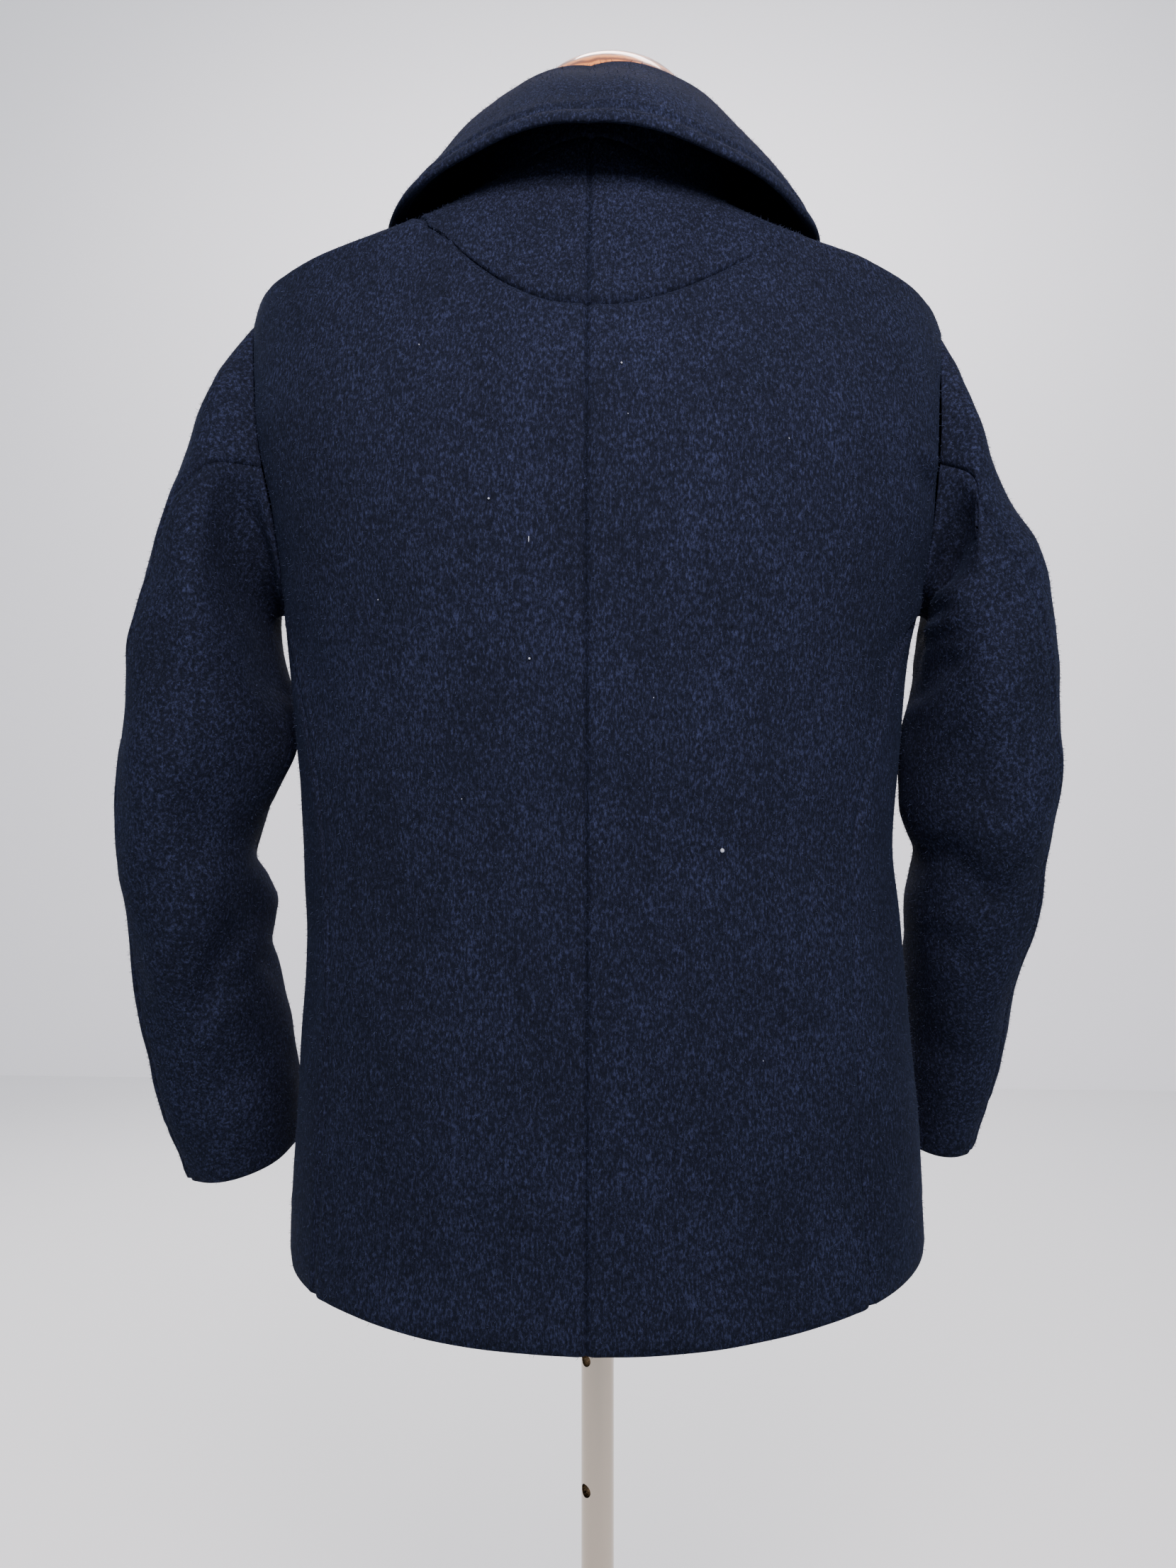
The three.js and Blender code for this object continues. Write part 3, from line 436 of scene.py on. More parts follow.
def collar_path(side, angle):
    """The middle of the collar's cloth at angles: up the stand, over the roll and down the fall."""
    row = np.moveaxis(look_up(COLLAR, angle), -1, 0)
    _, stand, lean_left, lean_right, out_left, out_right, drop_left, drop_right, bow = row
    lean = lean_left if side > 0 else lean_right
    reach = out_left if side > 0 else out_right
    drop = drop_left if side > 0 else drop_right
    neck, normal = body_cloth(side, np.full(angle.shape, float(NECK)), angle)
    toward = body_point(side, float(NECK), angle + 1) - body_point(side, float(NECK), angle - 1)
    out = unit(np.stack([toward[..., 1], -toward[..., 0], 0 * angle], -1)) * -side
    up = np.array([0.0, 0.0, 1.0])

    def place(o, u):
        return neck + out * np.asarray(o)[..., None] + up * np.asarray(u)[..., None]

    def rest(point):
        """Lifts places that would sink into the body."""
        h, under = body_under(side, point)
        clear = COLLAR_CLOTH / 2 + 1.5 + LAP * smoothstep(*LAP_STEP, angle)
        low = body_point(side, h, under)[..., 2] + clear / body_normal(side, h, under)[..., 2]
        point[..., 2] = np.maximum(point[..., 2], low)
        return point

    edge = rest(place(reach, -drop))
    near = place(16 - lean, stand - 9)
    bowed = rest((near + edge) / 2 + (out + up) * (bow * 0.7)[..., None])
    half = COLLAR_CLOTH / 2
    base = neck - normal * half + up
    return np.stack(
        [base, place(-half - 0.5 * lean, 0.45 * stand), place(-lean - half, stand - 11),
         place(5.5 - lean, stand - 1), near, bowed, edge]
    )


def collar_grid():
    """Middle surface of the collar, from the left front round the back to the right front."""
    columns = np.concatenate([neck_angle(np.linspace(0, 1, 50)), np.linspace(90, COLLAR_END, 46)[1:]])
    path = np.concatenate([collar_path(1, columns[::-1]), collar_path(-1, columns[1:])], axis=1)
    rows = np.concatenate(
        [np.linspace(0, 2.2, 20), np.linspace(2.2, 4.2, 22)[1:], np.linspace(4.2, 6, 26)[1:]]
    )
    keys = np.arange(float(len(path)))
    middle = np.array([hermite(keys, path.reshape(len(path), -1), np.full(1, p))[0] for p in rows])
    middle = middle.reshape(len(rows), -1, 3)
    return middle, grid_normal(middle)


def grid_normal(grid):
    """Normals of a grid of places, all on the same side of it."""
    along = np.gradient(grid, axis=0)
    across = np.gradient(grid, axis=1)
    return unit(np.cross(along, across))


def edge_distance(grid):
    """How far each place of a grid is from its first and last row and its first and last column, in mm."""
    down = np.linalg.norm(np.diff(grid, axis=0), axis=-1)
    side = np.linalg.norm(np.diff(grid, axis=1), axis=-1)
    row = np.concatenate([np.zeros((1, grid.shape[1])), np.cumsum(down, 0)])
    col = np.concatenate([np.zeros((grid.shape[0], 1)), np.cumsum(side, 1)], 1)
    return row, row[-1:] - row, col, col[:, -1:] - col


def seam(distance, deep=1.1, width=1.7, puff=0.5):
    """A sewn edge: the cloth dips into the seam and swells a little beside it."""
    return puff * bell(distance - 5.5, 3.2) - deep * bell(distance, width)


def moon_seam(distance, side, x):
    """The half-moon seam, which sinks into the nap towards the right shoulder."""
    return seam(distance, *MOON_SEAM) * (smoothstep(-105, -70, x) if side < 0 else 1)


def stitch_row(distance, at, deep):
    """A row of stitches felt through the cloth as a soft line at a distance from the edge."""
    return 0.3 * bell(distance - at - 4.5, 3.5) - deep * bell(distance - at, 2.4)


def turned_up(distance, depth):
    """The cloth's thickness by an edge where it is folded up inside."""
    return mix(HEM_CLOTH, CLOTH, smoothstep(depth - 1, depth + 2, distance))


def to_line(u, v, line):
    """Distance of places from a broken line, the share along it, and which side of it they are on."""
    line = np.asarray(line, float)
    legs = np.diff(line, axis=0)
    lengths = np.linalg.norm(legs, axis=1)
    starts = np.concatenate([[0], np.cumsum(lengths)])
    best = np.full(u.shape, 1e9)
    share = np.zeros(u.shape)
    way = np.zeros(u.shape)
    for (x, z), (dx, dz), length, start in zip(line, legs, lengths, starts):
        t = np.clip(((u - x) * dx + (v - z) * dz) / length**2, 0, 1)
        ax, az = u - x - t * dx, v - z - t * dz
        d = np.hypot(ax, az)
        closer = d < best
        best = np.where(closer, d, best)
        share = np.where(closer, (start + t * length) / starts[-1], share)
        way = np.where(closer, np.sign(dx * az - dz * ax), way)
    return best, share, way


def fold(u, v, line, width, height, lean, fade=0.3):
    """A soft ridge (or trough, below zero) along a line, which dies out at both ends and may lean aside."""
    d, share, way = to_line(u, v, line)
    ends = smoothstep(0, fade, share) * smoothstep(0, fade, 1 - share)
    wide = width * np.where(way > 0, 1 + lean, 1 - lean)
    return height * ends * bell(d, wide)


def folds(u, v, rows):
    return sum(fold(u, v, *row) for row in rows)


def waver(grid, size, height, seed):
    """A slow unevenness of the cloth, about size mm from swell to swell. The seed picks its pattern."""
    draw = np.random.default_rng(seed)
    total = np.zeros(grid.shape[:-1])
    for _ in range(7):
        way = draw.normal(size=3)
        way *= 2 * math.pi / (size * draw.uniform(0.7, 1.6) * np.linalg.norm(way))
        total += np.sin(grid @ way + draw.uniform(0, 2 * math.pi))
    return total * height / 2.6


def linked(name, data):
    """A new object of the scene that shows some data."""
    obj = bpy.data.objects.new(name, data)
    bpy.context.scene.collection.objects.link(obj)
    return obj


def make_mesh(name, points, faces):
    """A shaded-smooth object from places in mm."""
    mesh = bpy.data.meshes.new(name)
    mesh.from_pydata((np.asarray(points) * MM).tolist(), [], np.asarray(faces).tolist())
    mesh.polygons.foreach_set("use_smooth", np.ones(len(mesh.polygons), bool))
    mesh.update()
    return linked(name, mesh)


def grid_faces(rows, cols, first=0):
    i, j = np.meshgrid(np.arange(rows - 1), np.arange(cols - 1), indexing="ij")
    a = (first + i * cols + j).ravel()
    return np.stack([a, a + 1, a + cols + 1, a + cols], 1)


def cloth_piece(name, grid, normal, thick):
    """A closed sheet: the outside as a grid of places, the inside a thickness under it, rounded edges."""
    rows, cols = grid.shape[:2]
    inside = grid - normal * np.asarray(thick)[..., None]
    i, j = np.arange(rows), np.arange(cols)
    rim = np.concatenate(
        [j[:-1], i[:-1] * cols + cols - 1, (rows - 1) * cols + j[:0:-1], i[:0:-1] * cols]
    )
    outer, inner = grid.reshape(-1, 3), inside.reshape(-1, 3)
    a, b = outer[rim], inner[rim]
    along = unit(np.roll(a, -1, 0) - np.roll(a, 1, 0))
    away = np.cross(along, unit(a - b))
    middle = grid[rows // 2, cols // 2]
    if np.sum(away * (a - middle)) < 0:
        away = -away
    edge = (a + b) / 2 + away * 0.3 * np.linalg.norm(a - b, axis=1, keepdims=True)
    count = rows * cols
    points = np.concatenate([outer, inner, edge])
    top = grid_faces(rows, cols)
    bottom = grid_faces(rows, cols, count)[:, ::-1]
    k = 2 * count + np.arange(len(rim))
    after, k_after = np.roll(rim, -1), np.roll(k, -1)
    near = np.stack([after, rim, k, k_after], 1)
    far = np.stack([k_after, k, rim + count, after + count], 1)
    obj = make_mesh(name, points, np.concatenate([top, bottom, near, far]))
    orient(obj)
    return obj


def orient(obj):
    """Turns a closed mesh to face out."""
    work = bmesh.new()
    work.from_mesh(obj.data)
    bmesh.ops.recalc_face_normals(work, faces=work.faces)
    work.to_mesh(obj.data)
    work.free()


def nap(name, grid, normal, count, seed, lay):
    """Short fibres that stand off the cloth, brushed the way of lay and drawn coarser than wool."""
    draw = np.random.default_rng(seed)
    quad = np.linalg.norm(
        np.cross(grid[1:, 1:] - grid[:-1, :-1], grid[1:, :-1] - grid[:-1, 1:]), axis=-1
    ).ravel()
    pick = draw.choice(quad.size, count, p=quad / quad.sum())
    i, j = np.divmod(pick, grid.shape[1] - 1)
    s, t = draw.random((2, count, 1))
    corner = [(i, j), (i, j + 1), (i + 1, j), (i + 1, j + 1)]
    share = [(1 - s) * (1 - t), (1 - s) * t, s * (1 - t), s * t]
    root = sum(w * grid[at] for w, at in zip(share, corner))
    out = unit(sum(w * normal[at] for w, at in zip(share, corner)))
    long = draw.uniform(*NAP_LENGTH, (count, 1)) * draw.uniform(0.5, 1.0, (count, 1))
    way = unit(out * 0.9 + np.array(lay) + draw.normal(size=(count, 3)) * NAP_WILD)
    way = unit(way + out * np.maximum(0.25 - np.sum(way * out, 1, keepdims=True), 0))
    curl = unit(way + draw.normal(size=(count, 3)) * 0.7)
    wide = unit(np.cross(way, draw.normal(size=(count, 3)))) * NAP_HALF_WIDTH
    root = root - out * 0.3
    bend = root + way * long * 0.55
    tip = bend + curl * long * 0.45
    points = np.stack([root - wide, root + wide, bend + wide * 0.8, bend - wide * 0.8, tip], 1).reshape(-1, 3)
    base = 5 * np.arange(count)[:, None]
    faces = (base + np.array([0, 1, 2, 3])).tolist() + (base + np.array([3, 2, 4])).tolist()
    mesh = bpy.data.meshes.new(name)
    mesh.from_pydata((points * MM).tolist(), [], faces)
    return linked(name, mesh)


def lint_specks(name, grid, normal, places):
    """Specks of pale lint caught in the nap, from (x, z, half width, length) rows in mm."""
    work = bmesh.new()
    for x, z, wide, long in places:
        i, j = np.unravel_index(np.argmin(np.hypot(grid[..., 0] - x, grid[..., 2] - z)), grid.shape[:2])
        seat = Matrix.Translation(Vector(grid[i, j] + normal[i, j] * 0.7) * MM)
        size = Matrix.Diagonal((wide * MM, wide * MM, long / 2 * MM, 1))
        bmesh.ops.create_icosphere(work, subdivisions=2, radius=1.0, matrix=seat @ size)
    mesh = bpy.data.meshes.new(name)
    work.to_mesh(mesh)
    work.free()
    return linked(name, mesh)


def turned(name, profile, place=(0, 0, 0), turn=None, segments=128):
    """A turned piece from its profile of (radius, height) places, which starts and ends on the axis."""
    angles = np.linspace(0, 2 * math.pi, segments, endpoint=False)
    circle = np.stack([np.cos(angles), np.sin(angles)], 1)
    rings = [np.column_stack([circle * r, np.full(segments, z)]) for r, z in profile[1:-1]]
    points = np.concatenate([[(0, 0, profile[0][1])], *rings, [(0, 0, profile[-1][1])]])
    obj = make_mesh(name, place_all(points, place, turn), lofted_faces(len(rings), segments))
    return finish_loft(obj, len(rings), segments)


def place_all(points, place, turn):
    if turn is not None:
        points = points @ np.array(turn.to_matrix()).T
    return points + np.asarray(place)


def lofted_faces(rings, segments):
    """The quads between rings that follow one end point."""
    k = np.arange(segments)
    after = (k + 1) % segments
    quads = [
        np.stack([1 + i * segments + k, 1 + i * segments + after,
                  1 + (i + 1) * segments + after, 1 + (i + 1) * segments + k], 1)
        for i in range(rings - 1)
    ]
    return np.concatenate(quads)


def finish_loft(obj, rings, segments):
    """Closes the two ends of a loft and turns it to face out."""
    work = bmesh.new()
    work.from_mesh(obj.data)
    work.verts.ensure_lookup_table()
    last = 1 + rings * segments
    for k in range(segments):
        after = (k + 1) % segments
        work.faces.new([work.verts[i] for i in (0, 1 + after, 1 + k)])
        low = last - segments
        work.faces.new([work.verts[i] for i in (last, low + k, low + after)])
    bmesh.ops.recalc_face_normals(work, faces=work.faces)
    for face in work.faces:
        face.smooth = True
    work.to_mesh(obj.data)
    work.free()
    obj.data.shade_smooth()
    obj.data.set_sharp_from_angle(angle=math.radians(38))
    return obj


def ride(obj, look, slot, *nodes):
    """Every piece has a look, rides on the one body and stands for its solids. Its slot is not used."""
    obj.data.materials.append(LOOKS[look])
    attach(obj, "root")
    if nodes:
        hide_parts(*nodes)


# Materials

def linear(code):
    """An sRGB hex colour as linear RGBA."""
    values = [int(code[i : i + 2], 16) / 255 for i in (0, 2, 4)]
    return tuple(v / 12.92 if v <= 0.04045 else ((v + 0.055) / 1.055) ** 2.4 for v in values) + (1.0,)


def node(tree, kind, settings=(), **links):
    """Adds a shader node, sets its properties and sockets, and links the named inputs."""
    made = tree.nodes.new(kind)
    for key, value in dict(settings).items():
        if isinstance(key, str) and hasattr(made, key):
            setattr(made, key, value)
        else:
            made.inputs[key].default_value = value
    for key, socket in links.items():
        place = int(key[3:]) if key.startswith("in_") else key.replace("_", " ")
        tree.links.new(socket, made.inputs[place])
    return made


def material(name, **sockets):
    """A new material with a Principled shader whose constants are set on its own sockets."""
    made = bpy.data.materials.new(name)
    made.use_nodes = True
    tree = made.node_tree
    shader = tree.nodes["Principled BSDF"]
    for key, value in sockets.items():
        shader.inputs[key.replace("_", " ")].default_value = value
    return made, tree, shader


def ramp(tree, factor, stops):
    """A colour ramp with (place, hex) stops."""
    made = node(tree, "ShaderNodeValToRGB", Fac=factor)
    while len(made.color_ramp.elements) < len(stops):
        made.color_ramp.elements.new(0.5)
    for element, (place, code) in zip(made.color_ramp.elements, stops):
        element.position, element.color = place, linear(code)
    return made.outputs["Color"]


def paint(tree, shader, factor, stops):
    """Colours a shader by a ramp along a factor."""
    tree.links.new(ramp(tree, factor, stops), shader.inputs["Base Color"])


def added(tree, tone, more, share):
    """A tone and a share of another."""
    settings = {"operation": "MULTIPLY_ADD", 1: share}
    return node(tree, "ShaderNodeMath", settings, in_0=more, in_2=tone).outputs[0]


def bump(tree, strength, distance, height, **under):
    """The normal of a relief, over the relief under it if there is one."""
    settings = {"Strength": strength, "Distance": distance}
    return node(tree, "ShaderNodeBump", settings, Height=height, **under).outputs["Normal"]


def stretched(tree, scale):
    """Object coordinates in metres, stretched by a scale for each axis."""
    coordinates = node(tree, "ShaderNodeTexCoord").outputs["Object"]
    return node(tree, "ShaderNodeMapping", {"Scale": scale}, Vector=coordinates).outputs["Vector"]


def noise(tree, scale, size_mm, detail=4.0, rough=0.6):
    """Noise whose swells are size_mm apart, along stretched coordinates."""
    where = stretched(tree, scale)
    settings = {"Scale": 1000 / size_mm, "Detail": detail, "Roughness": rough}
    return node(tree, "ShaderNodeTexNoise", settings, Vector=where).outputs["Fac"]


def boiled_wool(name, streak, pills):
    """Boiled wool: felted and brushed, so it drinks light, with a soft sheen where its nap is seen edge on.

    streak is how much longer than wide its combed nap lies up and down; pills is how mottled it has worn.
    """
    made, tree, shader = material(
        name, Metallic=0.0, Roughness=0.95, Specular_IOR_Level=0.03,
        Sheen_Weight=0.03, Sheen_Roughness=0.4, Sheen_Tint=linear("6f86b8"),
    )
    combed = noise(tree, (1, 1, 1 / streak), 1.1, 4.0, 0.7)
    cloudy = noise(tree, (1, 1, 0.6), 45, 2.0, 0.5)
    mottled = noise(tree, (1, 1, 0.8), 1.9, 4.0, 0.75)
    either = {"data_type": "FLOAT", "Factor": pills}
    felt = node(tree, "ShaderNodeMix", either, A=combed, B=mottled).outputs[0]
    stops = [(0.34, "06080c"), (0.54, "10131e"), (0.76, "2a304a")]
    paint(tree, shader, added(tree, felt, cloudy, 0.08), stops)
    fuzz = noise(tree, (1, 1, 0.7), 1.3, 3.0, 0.75)
    relief = bump(tree, 0.5, 0.0006, fuzz, Normal=bump(tree, 0.4, 0.0008, felt))
    tree.links.new(relief, shader.inputs["Normal"])
    return made


def wool_nap():
    """The loose fibres of the same wool, some paler than others."""
    made, tree, shader = material("wool_nap", Roughness=1.0, Specular_IOR_Level=0.1)
    tone = noise(tree, (1, 1, 1), 2.5, 1.0, 0.5)
    paint(tree, shader, tone, [(0.35, "11141f"), (0.65, "2c3349")])
    return made


def lacquered_wood():
    """Turned beech, stained amber and lacquered: a brown grain under a thick clear gloss."""
    made, tree, shader = material(
        "lacquered_beech", Roughness=0.34, Coat_Weight=1.0, Coat_Roughness=0.05, Coat_IOR=1.5
    )
    rings = node(
        tree, "ShaderNodeTexWave",
        {"wave_type": "RINGS", "rings_direction": "Y", "Scale": 60.0, "Distortion": 5.0, "Detail": 3.0},
        Vector=stretched(tree, (1, 0.35, 1)),
    )
    fibre = noise(tree, (1, 0.06, 1), 0.9, 3.0)
    tone = added(tree, rings.outputs["Fac"], fibre, 0.45)
    paint(tree, shader, tone, [(0.2, "5a2c10"), (0.7, "8d4d1e"), (1.0, "b9702f")])
    tree.links.new(bump(tree, 0.15, 0.0003, fibre), shader.inputs["Normal"])
    return made


def polished_chrome():
    """Chrome plate on steel, wiped but not spotless."""
    made, tree, shader = material("chrome_plate", Metallic=1.0, Base_Color=linear("b0a698"))
    haze = noise(tree, (1, 1, 0.3), 22, 4.0)
    rough = node(tree, "ShaderNodeMapRange", {"To Min": 0.04, "To Max": 0.13}, Value=haze)
    tree.links.new(rough.outputs["Result"], shader.inputs["Roughness"])
    return made


def form_linen():
    """Unbleached linen stretched on the form: a plain weave, drawn with threads 1.6 mm apart."""
    made, tree, shader = material("form_linen", Roughness=0.9, Sheen_Weight=0.15, Sheen_Roughness=0.5)
    flecks = noise(tree, (1, 1, 0.15), 2.4, 3.0)
    paint(tree, shader, flecks, [(0.3, "a39883"), (0.7, "c4baa6")])
    threads = [
        node(tree, "ShaderNodeTexWave", {"bands_direction": way, "Scale": 195.0, "Distortion": 0.6},
             Vector=stretched(tree, (1, 1, 1))).outputs["Fac"]
        for way in ("X", "Z")
    ]
    weave = node(tree, "ShaderNodeMath", {"operation": "MAXIMUM"}, in_0=threads[0], in_1=threads[1])
    tree.links.new(bump(tree, 0.4, 0.0004, weave.outputs[0]), shader.inputs["Normal"])
    return made


def horn():
    """Dark polished horn with paler streaks."""
    made, tree, shader = material("dark_horn", Roughness=0.28, Coat_Weight=0.3, Coat_Roughness=0.15)
    streaks = noise(tree, (1, 1, 0.3), 6.0, 3.0)
    paint(tree, shader, streaks, [(0.4, "14151b"), (0.75, "34333a")])
    return made


def plain(name, code, rough):
    return material(name, Base_Color=linear(code), Roughness=rough)[0]


LOOKS = {
    "back": boiled_wool("boiled_wool_combed", 2.8, 0.4),
    "sleeve": boiled_wool("boiled_wool_worn", 1.4, 0.75),
    "nap": wool_nap(),
    "wood": lacquered_wood(),
    "chrome": polished_chrome(),
    "linen": form_linen(),
    "horn": horn(),
    "thread": plain("sewing_thread", "10131c", 0.8),
    "lint": plain("lint", "8b909c", 0.9),
}


def facing(grid, like):
    """Normals of a grid, turned the way the given ones point."""
    normal = grid_normal(grid)
    return normal * np.sign(np.sum(normal * like, -1, keepdims=True))


# Each panel's number of nap fibres, its cloth's flat width and length in metres, and its area.
SHEETS = {
    "back_left": (17000, (0.3, 0.8), 0.136),
    "back_right": (17000, (0.3, 0.8), 0.1286),
    "front_left": (17000, (0.43, 0.87), 0.24),
    "front_right": (17000, (0.43, 0.87), 0.241),
    "yoke_left": (3500, (0.23, 0.12), 0.013),
    "yoke_right": (3500, (0.23, 0.12), 0.0152),
    "sleeve_top_left": (12000, (0.26, 0.59), 0.072),
    "sleeve_under_left": (12000, (0.32, 0.52), 0.1095),
    "sleeve_top_right": (12000, (0.26, 0.59), 0.07),
    "sleeve_under_right": (12000, (0.32, 0.52), 0.0953),
    "collar": (13000, (0.81, 0.15), 0.0827),
}


def dress(name, look, grid, normal, rise, thick, lay=(0, 0, -0.5), lint=()):
    """One panel of the jacket: its cloth, raised by its folds and seams, its nap and its lint."""
    fibres, flat, area = SHEETS[name]
    shaped = grid + normal * rise[..., None]
    out = facing(shaped, normal)
    cloth = cloth_piece(f"{name}_cloth", shaped, out, thick)
    ride(cloth, look, "wool", name)
    fibre = nap(f"{name}_nap", shaped, out, fibres, SEED + len(name), lay)
    ride(fibre, "nap", "wool")
    if lint:
        specks = lint_specks(f"{name}_lint", shaped, out, lint)
        ride(specks, "lint", "wool")


# Soft folds of the backs: a line of (x, z), half width, height, lean, and for some how soon the ends fade.
# Troughs are below zero.
BACK_FOLDS = [
    ([(11, 762), (13, 732), (14, 703)], 3, -1.2, 0),
    ([(-178, 985), (-173, 968), (-168, 950)], 7, -3.5, 0),
    ([(-193, 1218), (-207, 1206), (-222, 1192)], 7, 3.5, 0.3),
    ([(-186, 1208), (-200, 1196), (-214, 1183)], 7, -2.5, 0),
    ([(196, 1125), (168, 1085), (150, 1030)], 16, -2.2, 0),
    ([(-196, 1120), (-180, 1070), (-172, 1010)], 14, -2.5, 0),
    ([(-112, 975), (-115, 880), (-117, 785)], 6, 2.6, 0.3, 0.2),
    ([(-101, 970), (-104, 880), (-106, 790)], 7, -1.8, 0, 0.2),
    ([(-205, 1140), (-204, 1095), (-199, 1050)], 9, 3.5, 0),
    ([(198, 1130), (196, 1095), (193, 1060)], 9, 2.0, 0),
    ([(120, 990), (60, 985), (0, 992)], 26, -1.3, 0),
    ([(-20, 985), (-80, 975), (-150, 985)], 26, -1.5, 0),
    ([(150, 930), (100, 860), (80, 780)], 24, 1.5, 0),
    ([(-150, 930), (-110, 860), (-95, 780)], 24, 1.5, 0),
    ([(60, 1250), (90, 1180), (100, 1100)], 30, 1.2, 0),
    ([(-70, 1250), (-100, 1170), (-110, 1090)], 30, 1.2, 0),
]

# Lint caught on the backs, as (x, z, half width, length).
LINT_LEFT = [
    (52, 1172, 0.6, 1.2), (32, 1082, 0.6, 1.3), (32, 1149, 0.25, 3.4), (96, 1262, 0.25, 0.9),
    (120, 1120, 0.22, 0.7), (70, 1010, 0.22, 0.7),
]
LINT_RIGHT = [
    (-18, 1245, 0.5, 1.1), (-75, 980, 1.2, 2.6), (-22, 1216, 0.22, 0.7), (-110, 1205, 0.22, 0.8),
    (-36, 1060, 0.22, 0.7), (-98, 858, 0.22, 0.7),
]

# Folds of the fronts, like those of the backs.
FRONT_FOLDS = [
    ([(190, 1120), (160, 1070), (140, 1000)], 16, -2.5, 0),
    ([(-190, 1120), (-165, 1060), (-150, 1000)], 16, -2.5, 0),
    ([(110, 985), (60, 980), (20, 990)], 24, -1.6, 0),
    ([(-20, 990), (-70, 975), (-130, 985)], 24, -1.6, 0),
    ([(130, 930), (95, 850), (80, 770)], 24, 1.6, 0),
    ([(-140, 930), (-100, 850), (-85, 770)], 24, 1.6, 0),
    ([(70, 1290), (110, 1230), (150, 1160)], 14, -2.0, 0),
    ([(-70, 1290), (-110, 1225), (-150, 1160)], 14, -2.0, 0),
]

# Folds of the sleeves, on the half that faces back.
LEFT_BACK_FOLDS = [
    ([(204, 975), (232, 908), (264, 842)], 9, -8.0, 0.25),
    ([(216, 1000), (250, 940), (288, 870)], 15, 4.0, 0),
    ([(202, 926), (226, 890), (248, 862)], 6, -4.0, 0.2),
    ([(241, 1225), (233, 1226), (223, 1228)], 4, -2.5, 0),
    ([(220, 1222), (210, 1165), (204, 1105), (200, 1050)], 15, -9.0, 0.3, 0.25),
    ([(252, 1205), (246, 1140), (236, 1075)], 12, 3.5, 0),
    ([(194, 1150), (197, 1100), (202, 1045)], 7, 3.0, 0, 0.3),
    ([(296, 1060), (276, 1010), (262, 950)], 18, 2.5, 0),
    ([(300, 905), (282, 862), (262, 824)], 12, -2.5, 0),
    ([(222, 835), (246, 812), (280, 800)], 12, -2.0, 0),
]
RIGHT_BACK_FOLDS = [
    ([(-228, 1190), (-219, 1165), (-212, 1135)], 9, -4.0, 0, 0.35),
    ([(-210, 1140), (-222, 1130), (-224, 1118), (-212, 1103)], 6, 6.5, 0.2),
    ([(-207, 1128), (-212, 1120), (-209, 1112)], 5, -6.0, 0),
    ([(-221, 1098), (-211, 1082), (-200, 1062)], 6, -5.0, 0),
    ([(-236, 1120), (-232, 1075), (-224, 1035)], 14, 3.0, 0),
    ([(-213, 1145), (-209, 1095), (-205, 1045)], 8, 2.5, 0),
    ([(-206, 985), (-232, 955), (-262, 935)], 11, -5.0, 0.2),
    ([(-208, 1010), (-240, 985), (-276, 968)], 14, 3.0, 0),
    ([(-209, 930), (-228, 908), (-252, 895)], 8, -3.0, 0),
    ([(-280, 1050), (-266, 1000), (-256, 950)], 16, 2.0, 0),
    ([(-212, 850), (-236, 836), (-266, 832)], 12, -2.0, 0),
]

# On the half that faces forward, in the bend of the elbow.
LEFT_FRONT_FOLDS = [
    ([(214, 985), (250, 955), (300, 950)], 10, -6.0, 0),
    ([(214, 945), (250, 925), (300, 920)], 10, 4.0, 0),
    ([(216, 915), (250, 895), (298, 885)], 9, -5.0, 0),
    ([(232, 1180), (226, 1120), (214, 1060)], 12, -5.0, 0),
    ([(194, 1150), (197, 1100), (202, 1045)], 7, 3.0, 0, 0.3),
]
RIGHT_FRONT_FOLDS = [
    ([(-206, 985), (-240, 960), (-286, 955)], 10, -6.0, 0),
    ([(-206, 950), (-240, 930), (-284, 925)], 10, 4.0, 0),
    ([(-208, 920), (-240, 900), (-280, 895)], 9, -5.0, 0),
    ([(-230, 1170), (-222, 1110), (-210, 1050)], 12, -5.0, 0),
]


def back_piece(side, name):
    grid, normal = back_grid(side)
    low, high, outer, centre = edge_distance(grid)
    x, z = grid[..., 0], grid[..., 2]
    armhole = smoothstep(1120, 1160, z)
    rise = seam(outer) * (1 - 0.6 * armhole) + seam(centre, *CENTRE_SEAM)
    rise += moon_seam(high, side, x)
    doubled = 1.6 * (1 - smoothstep(HEM_DEPTH - 3, HEM_DEPTH + 2, low))
    rise += doubled + stitch_row(low, HEM_DEPTH + 3, 2.4) - 1.2 * bell(low, EDGE_WIDTH)
    hung = folds(x, z, BACK_FOLDS) * smoothstep(0, CALM, outer)
    rise += hung + waver(grid, 120, 0.9, 3) + waver(grid, 40, 0.25, 4)
    lint = LINT_LEFT if side > 0 else LINT_RIGHT
    dress(name, "back", grid, normal, rise, turned_up(low, HEM_DEPTH), lint=lint)


def front_piece(side, name):
    grid, normal = front_grid(side)
    low, _, outer, free = edge_distance(grid)
    x, z = grid[..., 0], grid[..., 2]
    rise = seam(outer) - 1.0 * bell(low, EDGE_WIDTH) + stitch_row(low, HEM_DEPTH, 0.5)
    rise -= 0.8 * bell(free, 2.0)
    if side > 0:
        rise += stitch_row(free, 8, 0.5)
    calm = smoothstep(0, CALM, outer) * smoothstep(20, 60, free)
    rise += (folds(x, z, FRONT_FOLDS) + waver(grid, 120, 0.9, 5)) * calm + waver(grid, 40, 0.2, 6) * calm
    thick = np.where(free < FACING, CLOTH, turned_up(low, HEM_DEPTH))
    dress(name, "back", grid, normal, rise, thick)


